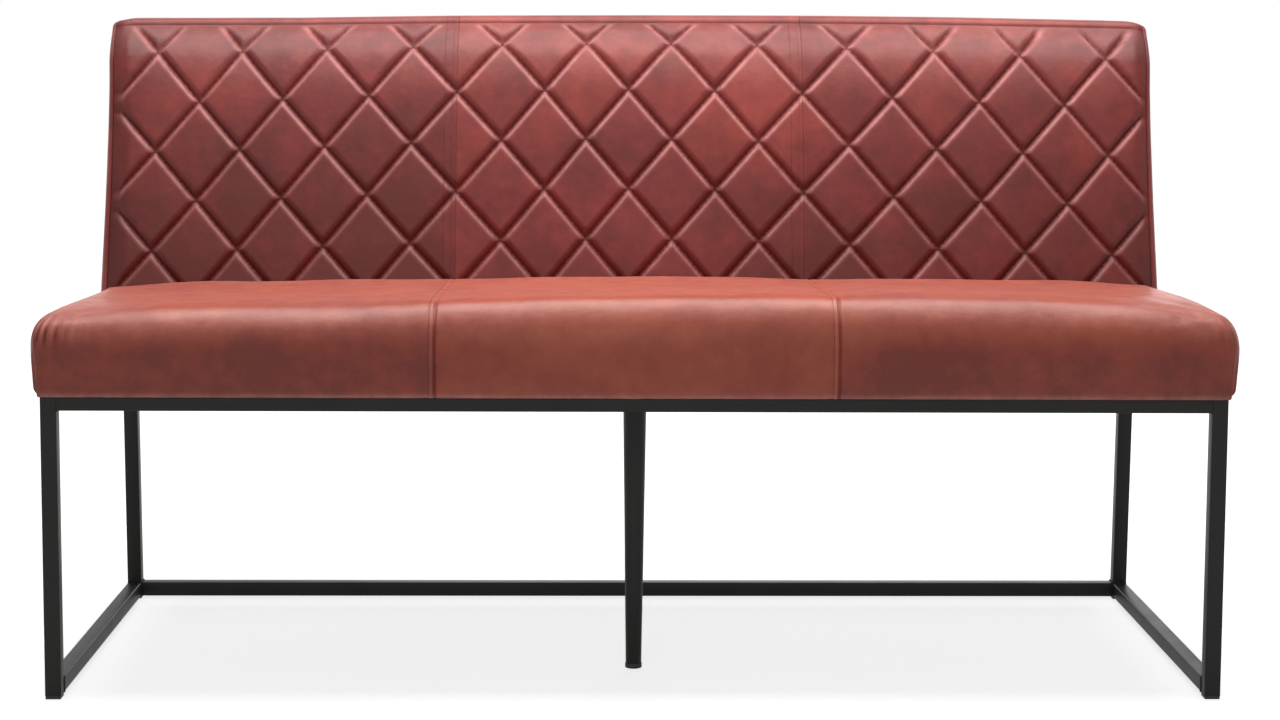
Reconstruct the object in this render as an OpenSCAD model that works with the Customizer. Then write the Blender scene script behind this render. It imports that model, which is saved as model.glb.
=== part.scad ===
// Dining bench with a deep leather seat, a leaning diamond-quilted back and a
// welded base of square steel tube. Millimetres, +Z up, the front faces -Y.

/* [Overall] */
// Width of the steel frame over its outer faces
frame_w = 1470; // [1200:10:2200]
// Depth of the steel frame over its top rails
frame_d = 540; // [515:5:620]
// Height of the steel frame's top, where the seat rests
frame_h = 383; // [340:1:420]
// Height of the finished back above the floor
back_h = 848; // [780:1:920]

/* [Steel base] */
// Side of the square steel tube
tube = 20; // [18:1:26]
// Wall of the square steel tube
tube_wall = 1.5; // [1:0.5:3]
// How far the rear legs rake back at the floor
rear_rake = 17; // [0:1:40]
// Thickness of the floor glides
glide_t = 4; // [2:1:8]
// How far a glide stays inside the edge of its tube
glide_inset = 0.5; // [0:0.5:2]
// Distance from the frame's front face to the middle leg's centre
mid_leg_y = 156; // [130:1:260]
// Diameter of the middle leg at its top
mid_leg_top_d = 30.5; // [24:0.5:36]
// Diameter of the middle leg at its foot
mid_leg_foot_d = 20.5; // [14:0.5:24]
// Wall of the middle leg
mid_leg_wall = 1.5; // [1:0.5:2.5]
// Diameter of the middle leg's foot cap
foot_cap_d = 22; // [16:0.5:26]
// Height of the middle leg's foot cap
foot_cap_h = 6.5; // [4:0.5:12]
// Side of the square plate that carries the middle leg
leg_plate_w = 60; // [45:1:80]
// Thickness of the middle leg's plate
leg_plate_t = 3; // [2:0.5:5]

/* [Fixings] */
// Length of a fixing tab, measured out from its rail
tab_l = 30; // [24:1:36]
// Width of a fixing tab along its rail
tab_w = 34; // [20:1:50]
// Thickness of a fixing tab
tab_t = 3; // [2:0.5:5]
// Width of a plate that joins the seat to the back
plate_w = 40; // [25:1:60]
// Thickness of a joining plate
plate_t = 5; // [3:0.5:6]
// Shank diameter of the fixing screws
screw_d = 5; // [4:0.5:6]
// Head diameter of the fixing screws
screw_head_d = 11; // [9:0.5:14]
// Head height of the fixing screws
screw_head_h = 3; // [2:0.5:4]
// How deep the fixing screws reach into the timber
screw_grip = 24; // [15:1:35]
// Clearance round a screw in its hole
screw_gap = 0.1; // [0.05:0.05:0.3]

/* [Seat] */
// How far the cushion swells out past each side of the frame
seat_side_swell = 16; // [8:1:24]
// How far the cushion swells out past the front of the frame
seat_front_swell = 12; // [6:1:20]
// Height of the cushion's ends above the frame
seat_edge_h = 88; // [80:1:110]
// How much higher the middle of the seat stands than its ends
seat_crown = 20; // [8:1:30]
// Radius of the roll along the cushion's top edge
seat_roll = 24; // [18:1:32]
// Depth of the sewn seams between the seat panels
seat_seam_depth = 3; // [1:0.5:4]
// Half width of the valley at a seat seam
seat_seam_w = 9; // [6:1:14]
// Thickness of leather and wadding over the seat
seat_skin = 8; // [6:1:12]
// Width of the leather turned in under the seat
lip_w = 22; // [16:1:24]
// Thickness of the leather turned in under seat and back
lip_t = 1.5; // [1:0.5:2.5]
// Thickness of the cloth under the seat
base_cloth_t = 0.8; // [0.5:0.1:1]
// Height of the seat's timber rails
seat_rail_h = 45; // [38:1:50]
// Width of the seat's timber rails
seat_rail_w = 45; // [42:1:55]
// Width of a webbing strap
strap_w = 60; // [40:1:70]
// Thickness of a webbing strap
strap_t = 2; // [1:0.5:3]
// Least spacing of the webbing straps
strap_pitch = 105; // [90:1:140]

/* [Back] */
// How far the back's side borders stand out past each side of the frame
back_side_swell = 14; // [8:1:24]
// Depth of the back where it stands on the frame
back_low_d = 125; // [115:1:145]
// Angle by which the back leans from upright
back_lean = 12.6; // [8:0.2:16]
// Depth of the back at its top edge
back_top_d = 80; // [70:1:110]
// Radius of the roll along the top edge of the back
back_roll = 22; // [16:1:26]
// Radius of the roll along the side edges of the back
side_roll = 14; // [8:1:18]
// How much higher the middle of the top edge stands than its ends
back_crown = 4; // [0:0.5:10]
// Number of leather panels over the seat and over the back
panels = 3; // [2:1:4]
// Quilted diamonds over the width of one panel
diamonds = 4; // [3:1:5]
// Height of a quilted diamond, up the face
diamond_h = 142; // [120:1:160]
// Distance from the back's top edge down to the first row of crossings
quilt_drop = 46; // [40:1:60]
// How far the rows of diamonds droop from the middle of the back to its ends
quilt_bow = 18; // [0:1:24]
// Height of a diamond's padding over its sewn channels
puff = 9; // [4:0.5:12]
// Thickness of the quilted cover at a sewn channel
cover_t = 4; // [3:0.5:6]
// Thickness of the side borders of the back
border_t = 12; // [10:0.5:16]
// Thickness of the foam in the back
back_foam_t = 38; // [25:1:42]
// Thickness of the board behind the foam
board_t = 4; // [3:1:6]
// Thickness of the leather panel over the rear
rear_panel_t = 3; // [2:0.5:4]
// Width of an upright in the back
upright_w = 40; // [30:1:60]
// Height of the lower rail in the back
back_low_rail_h = 60; // [45:1:80]
// Height of the upper rail in the back
back_top_rail_h = 40; // [30:1:60]

/* [Hidden] */
$fn = 48;

steel = "#1d1d1f";
nylon = "#101011";
zinc = "#b9bcc0";
timber = "#cfa876";
foam = "#e9dfb4";
strap = "#3a3a3c";
leather = "#a04a38";
cloth = "#232325";

// Clearance between soft pieces that lie against their neighbours
soft_gap = 0.3;
// How far a cutting solid runs past the face that it opens
over = 1;

half_w = frame_w / 2;
back_half = half_w + back_side_swell;
back_w = 2 * back_half;
// The back's face at the frame's top, measured from the frame's front
back_y = frame_d - back_low_d;
rail_z = frame_h - tube;

// The middle of the finished bench from front to rear, which the frame is centred on
rear_slope = (face_y(back_h) + back_top_d - frame_d) / (back_h - frame_h);
mid_y = (rear_y(back_h) - seat_front_swell) / 2;

// Front face of the back, and its rear face, at a height above the floor
function face_y(z) = back_y + (z - frame_h) * tan(back_lean);
function rear_y(z) = frame_d + (z - frame_h) * rear_slope;
// Front face of a rear leg at a height above the floor
function leg_y(z) = frame_d - tube + rear_rake * (frame_h - z) / (frame_h - glide_t);

// A bar along X with the outline given in Y and Z
module bar_x(x0, x1, outline) {
  translate([x0, 0, 0]) rotate([90, 0, 90]) linear_extrude(height = x1 - x0) polygon(outline);
}

// A square tube standing in a box, open at both ends of the axis named
module square_tube(low, high, axis) {
  a = [for (k = [0:2]) k == axis ? low[k] - over : low[k] + tube_wall];
  b = [for (k = [0:2]) k == axis ? high[k] + over : high[k] - tube_wall];
  difference() {
    translate(low) cube(high - low);
    translate(a) cube(b - a);
  }
}

module centred() {
  translate([0, -mid_y, 0]) children();
}

module mirrored_if(flip) {
  mirror([flip ? 1 : 0, 0, 0]) children();
}

/* Steel base */

module front_leg(flip) {
  color(steel) centred() mirrored_if(flip)
    square_tube([half_w - tube, 0, glide_t], [half_w, tube, frame_h], 2);
}

// The rear leg is a tube sheared back towards the floor
module rear_leg(flip) {
  z0 = glide_t;
  z1 = frame_h;
  color(steel) centred() mirrored_if(flip) difference() {
    bar_x(half_w - tube, half_w,
      [[leg_y(z0), z0], [leg_y(z0) + tube, z0], [leg_y(z1) + tube, z1], [leg_y(z1), z1]]);
    bar_x(half_w - tube + tube_wall, half_w - tube_wall, [
      [leg_y(z0 - over) + tube_wall, z0 - over], [leg_y(z0 - over) + tube - tube_wall, z0 - over],
      [leg_y(z1 + over) + tube - tube_wall, z1 + over], [leg_y(z1 + over) + tube_wall, z1 + over]]);
  }
}

// A side tube from the front leg to the raked rear leg, with its rear end cut to the rake
module side_tube(flip, z0) {
  z1 = z0 + tube;
  color(steel) centred() mirrored_if(flip) difference() {
    bar_x(half_w - tube, half_w, [[tube, z0], [leg_y(z0), z0], [leg_y(z1), z1], [tube, z1]]);
    bar_x(half_w - tube + tube_wall, half_w - tube_wall, [
      [tube - over, z0 + tube_wall], [leg_y(z0) + over, z0 + tube_wall],
      [leg_y(z1) + over, z1 - tube_wall], [tube - over, z1 - tube_wall]]);
  }
}

module cross_tube(y0, z0) {
  color(steel) centred()
    square_tube([tube - half_w, y0, z0], [half_w - tube, y0 + tube, z0 + tube], 0);
}

module front_leg_left() { front_leg(true); }
module front_leg_right() { front_leg(false); }
module rear_leg_left() { rear_leg(true); }
module rear_leg_right() { rear_leg(false); }
module floor_runner_left() { side_tube(true, glide_t); }
module floor_runner_right() { side_tube(false, glide_t); }
module side_top_rail_left() { side_tube(true, rail_z); }
module side_top_rail_right() { side_tube(false, rail_z); }
module front_top_rail() { cross_tube(0, rail_z); }
module rear_top_rail() { cross_tube(frame_d - tube, rail_z); }
module rear_floor_stretcher() { cross_tube(leg_y(glide_t), glide_t); }

module centre_cross_rail() {
  color(steel) centred()
    square_tube([-tube / 2, tube, rail_z], [tube / 2, frame_d - tube, frame_h], 1);
}

// The middle leg is a tapered round tube that hangs from its plate
module middle_leg() {
  h = rail_z - leg_plate_t - foot_cap_h;
  color(steel) centred() translate([0, mid_leg_y, foot_cap_h]) difference() {
    cylinder(h = h, d1 = mid_leg_foot_d, d2 = mid_leg_top_d);
    cylinder(h = h, d1 = mid_leg_foot_d - 2 * mid_leg_wall, d2 = mid_leg_top_d - 2 * mid_leg_wall);
  }
}

module middle_leg_plate() {
  color(steel) centred() translate([-leg_plate_w / 2, mid_leg_y - leg_plate_w / 2, rail_z - leg_plate_t])
    cube([leg_plate_w, leg_plate_w, leg_plate_t]);
}

module middle_leg_foot_cap() {
  color(nylon) centred() translate([0, mid_leg_y, 0]) cylinder(h = foot_cap_h, d = foot_cap_d);
}

// One glide under each of the four legs
module floor_glides() {
  w = tube - 2 * glide_inset;
  color(nylon) centred() for (s = [-1, 1], y = [0, leg_y(glide_t)])
    translate([s * (half_w - tube / 2) - w / 2, y + glide_inset, 0]) cube([w, w, glide_t]);
}

/* Fixings: every screw is [x, y, thickness of the plate under it] */

tab_x = [for (k = [-3, -1, 1, 3]) k * frame_w * 0.12];
tab_side_y = [0.25 * frame_d, 0.5 * frame_d];
tab_hole = tab_l / 2 - 1;
plate_x = [for (k = [-0.42, -0.2, 0.2, 0.42]) k * frame_w];
timber_z = frame_h + lip_t;
seat_rear_y = back_y - soft_gap - seat_skin;
plate_seat_y = seat_rear_y - seat_rail_w / 2;
wood_y = (cover_t + back_foam_t + board_t + 2 * soft_gap) / cos(back_lean);
plate_back_y = face_y(timber_z) + wood_y + 20;
plate_end = 10;

front_holes = [for (x = tab_x) [x, tube + tab_hole, tab_t]];
rear_holes = [for (x = tab_x) [x, frame_d - tube - tab_hole, tab_t]];
side_holes = [for (s = [-1, 1], y = tab_side_y) [s * (half_w - tube - tab_hole), y, tab_t]];
plate_seat_holes = [for (x = plate_x) [x, plate_seat_y, plate_t]];
plate_back_holes = [for (x = plate_x) [x, plate_back_y, plate_t]];
screw_places = concat(front_holes, rear_holes, side_holes, plate_seat_holes, plate_back_holes);
screw_top_z = timber_z + screw_grip;

module screw_bores(holes) {
  for (p = holes) translate([p[0], p[1], frame_h - plate_t - over])
    cylinder(h = screw_top_z + soft_gap - frame_h + plate_t + over, d = screw_d + 2 * screw_gap);
}

// Tabs are welded to the inner faces of the top rails
module fixing_tabs() {
  z = frame_h - tab_t;
  color(steel) centred() difference() {
    union() {
      for (x = tab_x) {
        translate([x - tab_w / 2, tube, z]) cube([tab_w, tab_l, tab_t]);
        translate([x - tab_w / 2, frame_d - tube - tab_l, z]) cube([tab_w, tab_l, tab_t]);
      }
      for (s = [-1, 1], y = tab_side_y)
        translate([s * (half_w - tube - tab_l / 2) - tab_l / 2, y - tab_w / 2, z])
          cube([tab_l, tab_w, tab_t]);
    }
    screw_bores(concat(front_holes, rear_holes, side_holes));
  }
}

// Flat plates under the seat's rear rail and the back's lower rail hold the two together
module joining_plates() {
  l = plate_back_y - plate_seat_y + 2 * plate_end;
  color(zinc) centred() difference() {
    for (x = plate_x) translate([x - plate_w / 2, plate_seat_y - plate_end, frame_h - plate_t])
      cube([plate_w, l, plate_t]);
    screw_bores(concat(plate_seat_holes, plate_back_holes));
  }
}

module fixing_screws() {
  color(zinc) centred() for (p = screw_places) translate([p[0], p[1], frame_h - p[2]]) {
    translate([0, 0, -screw_head_h]) cylinder(h = screw_head_h, d = screw_head_d);
    cylinder(h = screw_top_z - frame_h + p[2], d = screw_d);
  }
}

/* Timber of the seat */

timber_half = half_w - seat_skin - soft_gap;
timber_y0 = seat_skin + soft_gap;
timber_y1 = seat_rear_y - soft_gap;
timber_top = timber_z + seat_rail_h;
seam_x = [for (k = [1:panels - 1]) (k - panels / 2) * back_w / panels];

module seat_front_rail() {
  color(timber) centred() difference() {
    translate([-timber_half, timber_y0, timber_z]) cube([2 * timber_half, seat_rail_w, seat_rail_h]);
    screw_bores(front_holes);
  }
}

module seat_rear_rail() {
  color(timber) centred() difference() {
    translate([-timber_half, timber_y1 - seat_rail_w, timber_z])
      cube([2 * timber_half, seat_rail_w, seat_rail_h]);
    screw_bores(plate_seat_holes);
  }
}

module seat_end_rail(flip) {
  y0 = timber_y0 + seat_rail_w;
  y1 = timber_y1 - seat_rail_w;
  color(timber) centred() difference() {
    mirrored_if(flip) translate([timber_half - seat_rail_w, y0, timber_z])
      cube([seat_rail_w, y1 - y0, seat_rail_h]);
    screw_bores(side_holes);
  }
}

module seat_end_rail_left() { seat_end_rail(true); }
module seat_end_rail_right() { seat_end_rail(false); }

// One cross rail under each seat seam
module seat_cross_rails() {
  y0 = timber_y0 + seat_rail_w;
  y1 = timber_y1 - seat_rail_w;
  color(timber) centred() for (x = seam_x)
    translate([x - seat_rail_w / 2, y0, timber_z]) cube([seat_rail_w, y1 - y0, seat_rail_h]);
}

// Elastic straps run from the front rail to the rear rail, between the cross rails
bay_x = concat([seat_rail_w - timber_half], [for (x = seam_x) x], [timber_half - seat_rail_w]);
strap_x = [for (b = [0:panels - 1])
  let (x0 = bay_x[b] + (b > 0 ? seat_rail_w / 2 : 0),
       x1 = bay_x[b + 1] - (b < panels - 1 ? seat_rail_w / 2 : 0),
       n = floor((x1 - x0) / strap_pitch))
    for (i = [0:n - 1]) x0 + (x1 - x0) * (i + 0.5) / n];

module seat_webbing() {
  color(strap) centred() for (x = strap_x)
    translate([x - strap_w / 2, timber_y0, timber_top]) cube([strap_w, timber_y1 - timber_y0, strap_t]);
}

module seat_base_cloth() {
  x = half_w - lip_w - soft_gap;
  y0 = lip_w + soft_gap;
  y1 = back_y - lip_w - 2 * soft_gap;
  color(cloth) centred() difference() {
    translate([-x, y0, timber_z - base_cloth_t]) cube([2 * x, y1 - y0, base_cloth_t]);
    screw_bores(screw_places);
  }
}

/* Soft forms: a grid of points for the show face, and loops of points that close it */

// Numbers of the grid's border points, once round from its first corner
function border(nu, nv) = concat(
  [for (i = [0:nu]) i],
  [for (j = [1:nv]) j * (nu + 1) + nu],
  [for (i = [nu - 1:-1:0]) nv * (nu + 1) + i],
  [for (j = [nv - 1:-1:1]) j * (nu + 1)]);

// A closed skin: the grid, then each loop joined to the one before, then a fan at the end.
// The grid's cells are split along alternate diagonals, and turn is 0 or 1 to swap them.
module skin(grid, nu, nv, loops, end_point, turn = 0) {
  edge = border(nu, nv);
  n = len(edge);
  first = len(grid);
  points = concat(grid, [for (l = loops) for (p = l) p], [end_point]);
  last = len(points) - 1;
  function ring(k, i) = k == 0 ? edge[i % n] : first + (k - 1) * n + i % n;
  polyhedron(points = points, faces = concat(
    [for (j = [0:nv - 1]) for (i = [0:nu - 1]) let (a = j * (nu + 1) + i, b = a + nu + 1)
      for (f = (i + j + turn) % 2 == 0
          ? [[a, b + 1, a + 1], [a, b, b + 1]] : [[a, b, a + 1], [a + 1, b, b + 1]]) f],
    [for (k = [0:len(loops) - 1]) for (i = [0:n - 1])
      for (f = [[ring(k, i), ring(k, i + 1), ring(k + 1, i)],
                [ring(k, i + 1), ring(k + 1, i + 1), ring(k + 1, i)]]) f],
    [for (i = [0:n - 1]) [ring(len(loops), i), ring(len(loops), i + 1), last]]));
}

/* Seat cushion */

seat_half = half_w + seat_side_swell;
seat_mid_y = (back_y - seat_front_swell) / 2;
seat_half_d = (back_y + seat_front_swell) / 2;
seat_edge_z = frame_h + seat_edge_h;

// The crowned top, highest in the middle and a little lower at the front and rear
function crown_z(x, y) = seat_edge_z
  + seat_crown * (1 - pow(min(1, abs(x) / seat_half), 3))
  * (1 - 0.3 * pow(min(1, abs(y - seat_mid_y) / seat_half_d), 2));
// How far a point lies inside the valley of a seat seam, from 0 to 1
function seam(x) = max([for (s = seam_x) max(0, 1 - abs(x - s) / seat_seam_w)]);

// Columns of the cushion's grid: close together at each seam
panel_steps = 6;
seat_inner = seat_half - seat_roll;
seat_bounds = concat([-seat_inner], seam_x, [seat_inner]);
seat_xs = concat([-seat_inner], [for (b = [0:panels - 1])
  let (x0 = seat_bounds[b] + (b > 0 ? seat_seam_w : 0),
       x1 = seat_bounds[b + 1] - (b < panels - 1 ? seat_seam_w : 0))
    for (x = concat([for (i = [b > 0 ? 0 : 1:panel_steps]) x0 + (x1 - x0) * i / panel_steps],
                    b < panels - 1 ? [seat_bounds[b + 1]] : [])) x]);
seat_rows = 8;
rear_roll = 12;
seat_front_edge = seat_roll - seat_front_swell;
seat_rear_edge = face_y(seat_edge_z) - rear_roll;
seat_ys = [for (j = [0:seat_rows]) seat_front_edge + (seat_rear_edge - seat_front_edge) * j / seat_rows];

// Rings down the cushion's side: inset from the widest line, inset at the rear, height, and
// how far the height follows the crown
seat_rings = [
  [seat_roll * 0.6, rear_roll * 0.5, seat_edge_z - seat_roll * 0.08, 0.95],
  [seat_roll * 0.28, rear_roll * 0.15, seat_edge_z - seat_roll * 0.3, 0.8],
  [seat_roll * 0.08, 0, seat_edge_z - seat_roll * 0.7, 0.6],
  [0, 0, frame_h + seat_edge_h * 0.58, 0.2],
  [seat_side_swell * 0.12, 0, frame_h + seat_edge_h * 0.36, 0],
  [seat_side_swell * 0.5, 0, frame_h + seat_edge_h * 0.14, 0],
  [seat_side_swell, 0, frame_h, 0]
];

// One ring of points; corners are cut in and the seams are drawn in
function seat_ring(r, xs, ys) =
  let (nu = len(xs) - 1, nv = len(ys) - 1, x1 = seat_half - r[0], front = r[0] - seat_front_swell,
       base = r[0] == seat_side_swell, y0 = base ? 0 : front, cut = seat_roll * 0.35)
  [for (p = concat([for (i = [0:nu]) [i, 0]], [for (j = [1:nv]) [nu, j]],
                   [for (i = [nu - 1:-1:0]) [i, nv]], [for (j = [nv - 1:-1:1]) [0, j]]))
    let (i = p[0], j = p[1], left = i == 0, right = i == nu, rear = j == nv, fore = j == 0,
         corner = (left || right) && fore ? cut : 0,
         z = r[2] + r[3] * (crown_z(xs[i], ys[j]) - seat_edge_z),
         x = left ? corner - x1 : right ? x1 - corner : xs[i],
         groove = seat_seam_depth * seam(xs[i]),
         y = rear ? face_y(z) - soft_gap - r[1] : fore ? y0 + corner + groove : ys[j])
      [x, y, z]];

module seat_form() {
  skin([for (y = seat_ys) for (x = seat_xs) [x, y, crown_z(x, y) - seat_seam_depth * seam(x)]],
    len(seat_xs) - 1, seat_rows, [for (r = seat_rings) seat_ring(r, seat_xs, seat_ys)],
    [0, seat_mid_y, frame_h]);
}

// The plain crowned block inside the cover; gap shrinks it for the foam that fills the space
module seat_core(z0, gap) {
  x1 = half_w - seat_skin - gap;
  y0 = seat_skin + gap;
  inset = seat_skin + soft_gap + gap;
  steps = 12;
  xs = [for (i = [-steps:steps]) x1 * i / steps];
  y1 = face_y(seat_edge_z) - inset - rear_roll / 2;
  ys = [for (j = [0:4]) y0 + (y1 - y0) * j / 4];
  loop = [for (p = concat([for (x = xs) [x, 0]], [for (j = [1:4]) [x1, j]],
                          [for (i = [steps - 1:-1:-steps]) [x1 * i / steps, 4]],
                          [for (j = [3:-1:1]) [-x1, j]]))
    [p[0], p[1] == 4 ? face_y(z0) - inset : ys[p[1]], z0]];
  skin([for (y = ys) for (x = xs) [x, y, crown_z(x, y) - seat_skin - gap]], 2 * steps, 4, [loop],
    [0, seat_mid_y, z0]);
}

module seat_cover() {
  color(leather) centred() difference() {
    seat_form();
    seat_core(timber_z, 0);
    translate([lip_w - half_w, lip_w, frame_h - over])
      cube([frame_w - 2 * lip_w, back_y - soft_gap - 2 * lip_w, lip_t + 2 * over]);
  }
}

module seat_foam() {
  color(foam) centred() seat_core(timber_top + strap_t, soft_gap);
}

/* Back */

top_z = back_h - back_crown;
cosl = cos(back_lean);
sinl = sin(back_lean);
// Where the roll starts and ends, measured up the face from the frame's top
roll_s = (top_z - back_roll + back_roll * sinl - frame_h) / cosl;
end_s = roll_s + back_roll * (90 - back_lean) * PI / 180;
roll_y = back_y + roll_s * sinl + back_roll * cosl;
roll_z = top_z - back_roll;

// A point of the back's show face, s up the face and h out from it
function face_pt(x, s, h) =
  s <= roll_s ? [x, back_y + s * sinl - h * cosl, frame_h + s * cosl + h * sinl]
  : let (a = back_lean + (s - roll_s) / back_roll * 180 / PI)
    [x, roll_y - (back_roll + h) * cos(a), roll_z + (back_roll + h) * sin(a)];

// Quilting: the padding's height falls to nothing along two sets of sloping channels
pitch = back_w / panels / diamonds;
cross_s = end_s - quilt_drop;
function off_line(t) = abs(t - round(t));
function padding(x, s) =
  let (a = x / pitch + panels * diamonds / 2 + 0.5, b = (s - cross_s) / diamond_h)
    puff * pow(4 * off_line(a + b) * off_line(a - b), 0.45)
    * min(1, max(0, (end_s - s) / (end_s - roll_s)));
// The rows droop towards the ends, but not at the back's upper and lower edges
function droop(x, j) = j == 0 || j == len(back_ss) - 1 ? 0 : quilt_bow * pow(x / back_half, 2);

step_s = diamond_h / 4;
seat_top_s = (seat_edge_z + seat_crown - frame_h) / cosl;
quilt_rows = floor((cross_s - seat_top_s) / step_s);
back_ss = concat([0], [for (k = [quilt_rows:-1:0]) cross_s - k * step_s],
  [min(cross_s + step_s, end_s - back_roll * 0.3), end_s]);
columns = panels * diamonds * 4;
back_xs = concat([-back_half, side_roll * 0.3 - back_half, side_roll - back_half],
  [for (i = [1:columns - 1]) i * pitch / 4 - back_half],
  [back_half - side_roll, back_half - side_roll * 0.3, back_half]);

// The face falls away round its side edges, and the top edge is crowned
function side_fall(x) = let (d = max(0, abs(x) - back_half + side_roll))
  side_roll - sqrt(max(0, side_roll * side_roll - d * d));
function top_lift(x, s) = back_crown * (1 - pow(x / back_half, 2)) * s / end_s;

module quilted_form() {
  nu = len(back_xs) - 1;
  nv = len(back_ss) - 1;
  grid = [for (j = [0:nv]) for (i = [0:nu])
    let (x = back_xs[i], s = back_ss[j], plain = j < 2 || i < 3 || i > nu - 3)
      face_pt(x, s - droop(x, j), (plain ? 0 : padding(x, s)) - side_fall(x))
        + [0, 0, top_lift(x, s)]];
  rim = [for (e = border(nu, nv)) let (i = e % (nu + 1), j = floor(e / (nu + 1)), p = grid[e],
      z = j == nv ? top_z + top_lift(back_xs[i], end_s) : j == 0 ? frame_h : p[2])
    [p[0], rear_y(z), z]];
  low = [for (i = [0:nu]) [grid[i][0], grid[i][1], frame_h]];
  skin([for (k = [0:len(grid) - 1]) k <= nu ? low[k] : grid[k]], nu, nv, [rim],
    [0, rear_y(top_z), top_z] / 2 + [0, rear_y(frame_h), frame_h] / 2, (quilt_rows + 1) % 2);
}

// Outline, in Y and Z, of the space behind the quilted cover, down to the back's lower edge
in_top = top_z - rear_panel_t;
chamfer_z = roll_z - back_roll * 0.6;
function core_outline(gap, front, rear) = [
  [face_y(timber_z) + front, timber_z + gap], [face_y(chamfer_z) + front, chamfer_z],
  [max(roll_y, face_y(chamfer_z) + front) + gap, in_top - gap],
  [rear_y(in_top) + rear, in_top - gap], [rear_y(timber_z) + rear, timber_z + gap]];

module back_quilted_cover() {
  x = back_half - border_t;
  color(leather) centred() difference() {
    quilted_form();
    bar_x(-x, x, core_outline(0, cover_t / cosl, over));
    translate([-x, back_y + lip_w, frame_h - over])
      cube([2 * x, frame_d - back_y - 2 * lip_w, lip_t + 2 * over]);
  }
}

wood_half = back_half - border_t - soft_gap;
function wood_front(z) = face_y(z) + wood_y;
function wood_rear(z) = rear_y(z) - rear_panel_t - soft_gap;
low_rail_z = timber_z + back_low_rail_h;
up_rail_z = in_top - soft_gap - back_top_rail_h;

module wood_piece(x0, x1, z0, z1) {
  bar_x(x0, x1, [[wood_front(z0), z0], [wood_rear(z0), z0], [wood_rear(z1), z1], [wood_front(z1), z1]]);
}

module back_lower_rail() {
  color(timber) centred() difference() {
    wood_piece(-wood_half, wood_half, timber_z, low_rail_z);
    screw_bores(concat(rear_holes, plate_back_holes));
  }
}

module back_upper_rail() {
  color(timber) centred() wood_piece(-wood_half, wood_half, up_rail_z, in_top - soft_gap);
}

module back_upright(x) {
  color(timber) centred() wood_piece(x, x + upright_w, low_rail_z, up_rail_z);
}

module back_upright_left() { back_upright(-wood_half); }
module back_upright_right() { back_upright(wood_half - upright_w); }
module back_inner_uprights() { for (x = seam_x) back_upright(x - upright_w / 2); }

module back_board() {
  z1 = in_top - soft_gap;
  f = wood_y - board_t / cosl;
  color("#b98d5a") centred() bar_x(-wood_half, wood_half, [
    [face_y(timber_z) + f, timber_z], [face_y(timber_z) + wood_y, timber_z],
    [face_y(z1) + wood_y, z1], [face_y(z1) + f, z1]]);
}

module back_foam() {
  z1 = in_top - soft_gap;
  front = (cover_t + soft_gap) / cosl;
  rear = wood_y - (board_t + soft_gap) / cosl;
  color(foam) centred() bar_x(-wood_half, wood_half, [
    [face_y(timber_z) + front, timber_z], [face_y(timber_z) + rear, timber_z],
    [face_y(z1) + rear, z1], [max(roll_y, face_y(chamfer_z) + front) + soft_gap, z1],
    [face_y(chamfer_z) + front, chamfer_z - soft_gap]]);
}

module back_rear_panel() {
  z0 = timber_z;
  z1 = in_top - soft_gap;
  color(leather) centred() bar_x(-wood_half, wood_half, [
    [rear_y(z0) - rear_panel_t, z0], [rear_y(z0), z0], [rear_y(z1), z1],
    [rear_y(z1) - rear_panel_t, z1]]);
}

module back_base_cloth() {
  x = back_half - border_t - soft_gap;
  y0 = back_y + lip_w + soft_gap;
  y1 = frame_d - lip_w - soft_gap;
  color(cloth) centred() difference() {
    translate([-x, y0, timber_z - base_cloth_t]) cube([2 * x, y1 - y0, base_cloth_t]);
    screw_bores(concat(rear_holes, plate_back_holes));
  }
}

front_leg_left();
front_leg_right();
rear_leg_left();
rear_leg_right();
floor_runner_left();
floor_runner_right();
side_top_rail_left();
side_top_rail_right();
front_top_rail();
rear_top_rail();
rear_floor_stretcher();
centre_cross_rail();
middle_leg();
middle_leg_plate();
middle_leg_foot_cap();
floor_glides();
fixing_tabs();
joining_plates();
fixing_screws();
seat_front_rail();
seat_rear_rail();
seat_end_rail_left();
seat_end_rail_right();
seat_cross_rails();
seat_webbing();
seat_foam();
seat_cover();
seat_base_cloth();
back_lower_rail();
back_upper_rail();
back_upright_left();
back_upright_right();
back_inner_uprights();
back_board();
back_foam();
back_quilted_cover();
back_rear_panel();
back_base_cloth();
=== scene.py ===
# %% [markdown]
# # A dining bench in waxed leather
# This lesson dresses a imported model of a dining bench: a steel base, a long seat in three
# panels and a leaning back quilted in diamonds. The solids come from the construction model
# and stay where they are. Everything soft is built again here, as the maker would build it.
# Lengths are in millimetres until the moment a mesh is made.

# %% Load the frame
import math

import bmesh
import bpy
import numpy as np
from mathutils import Matrix, Vector


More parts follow.
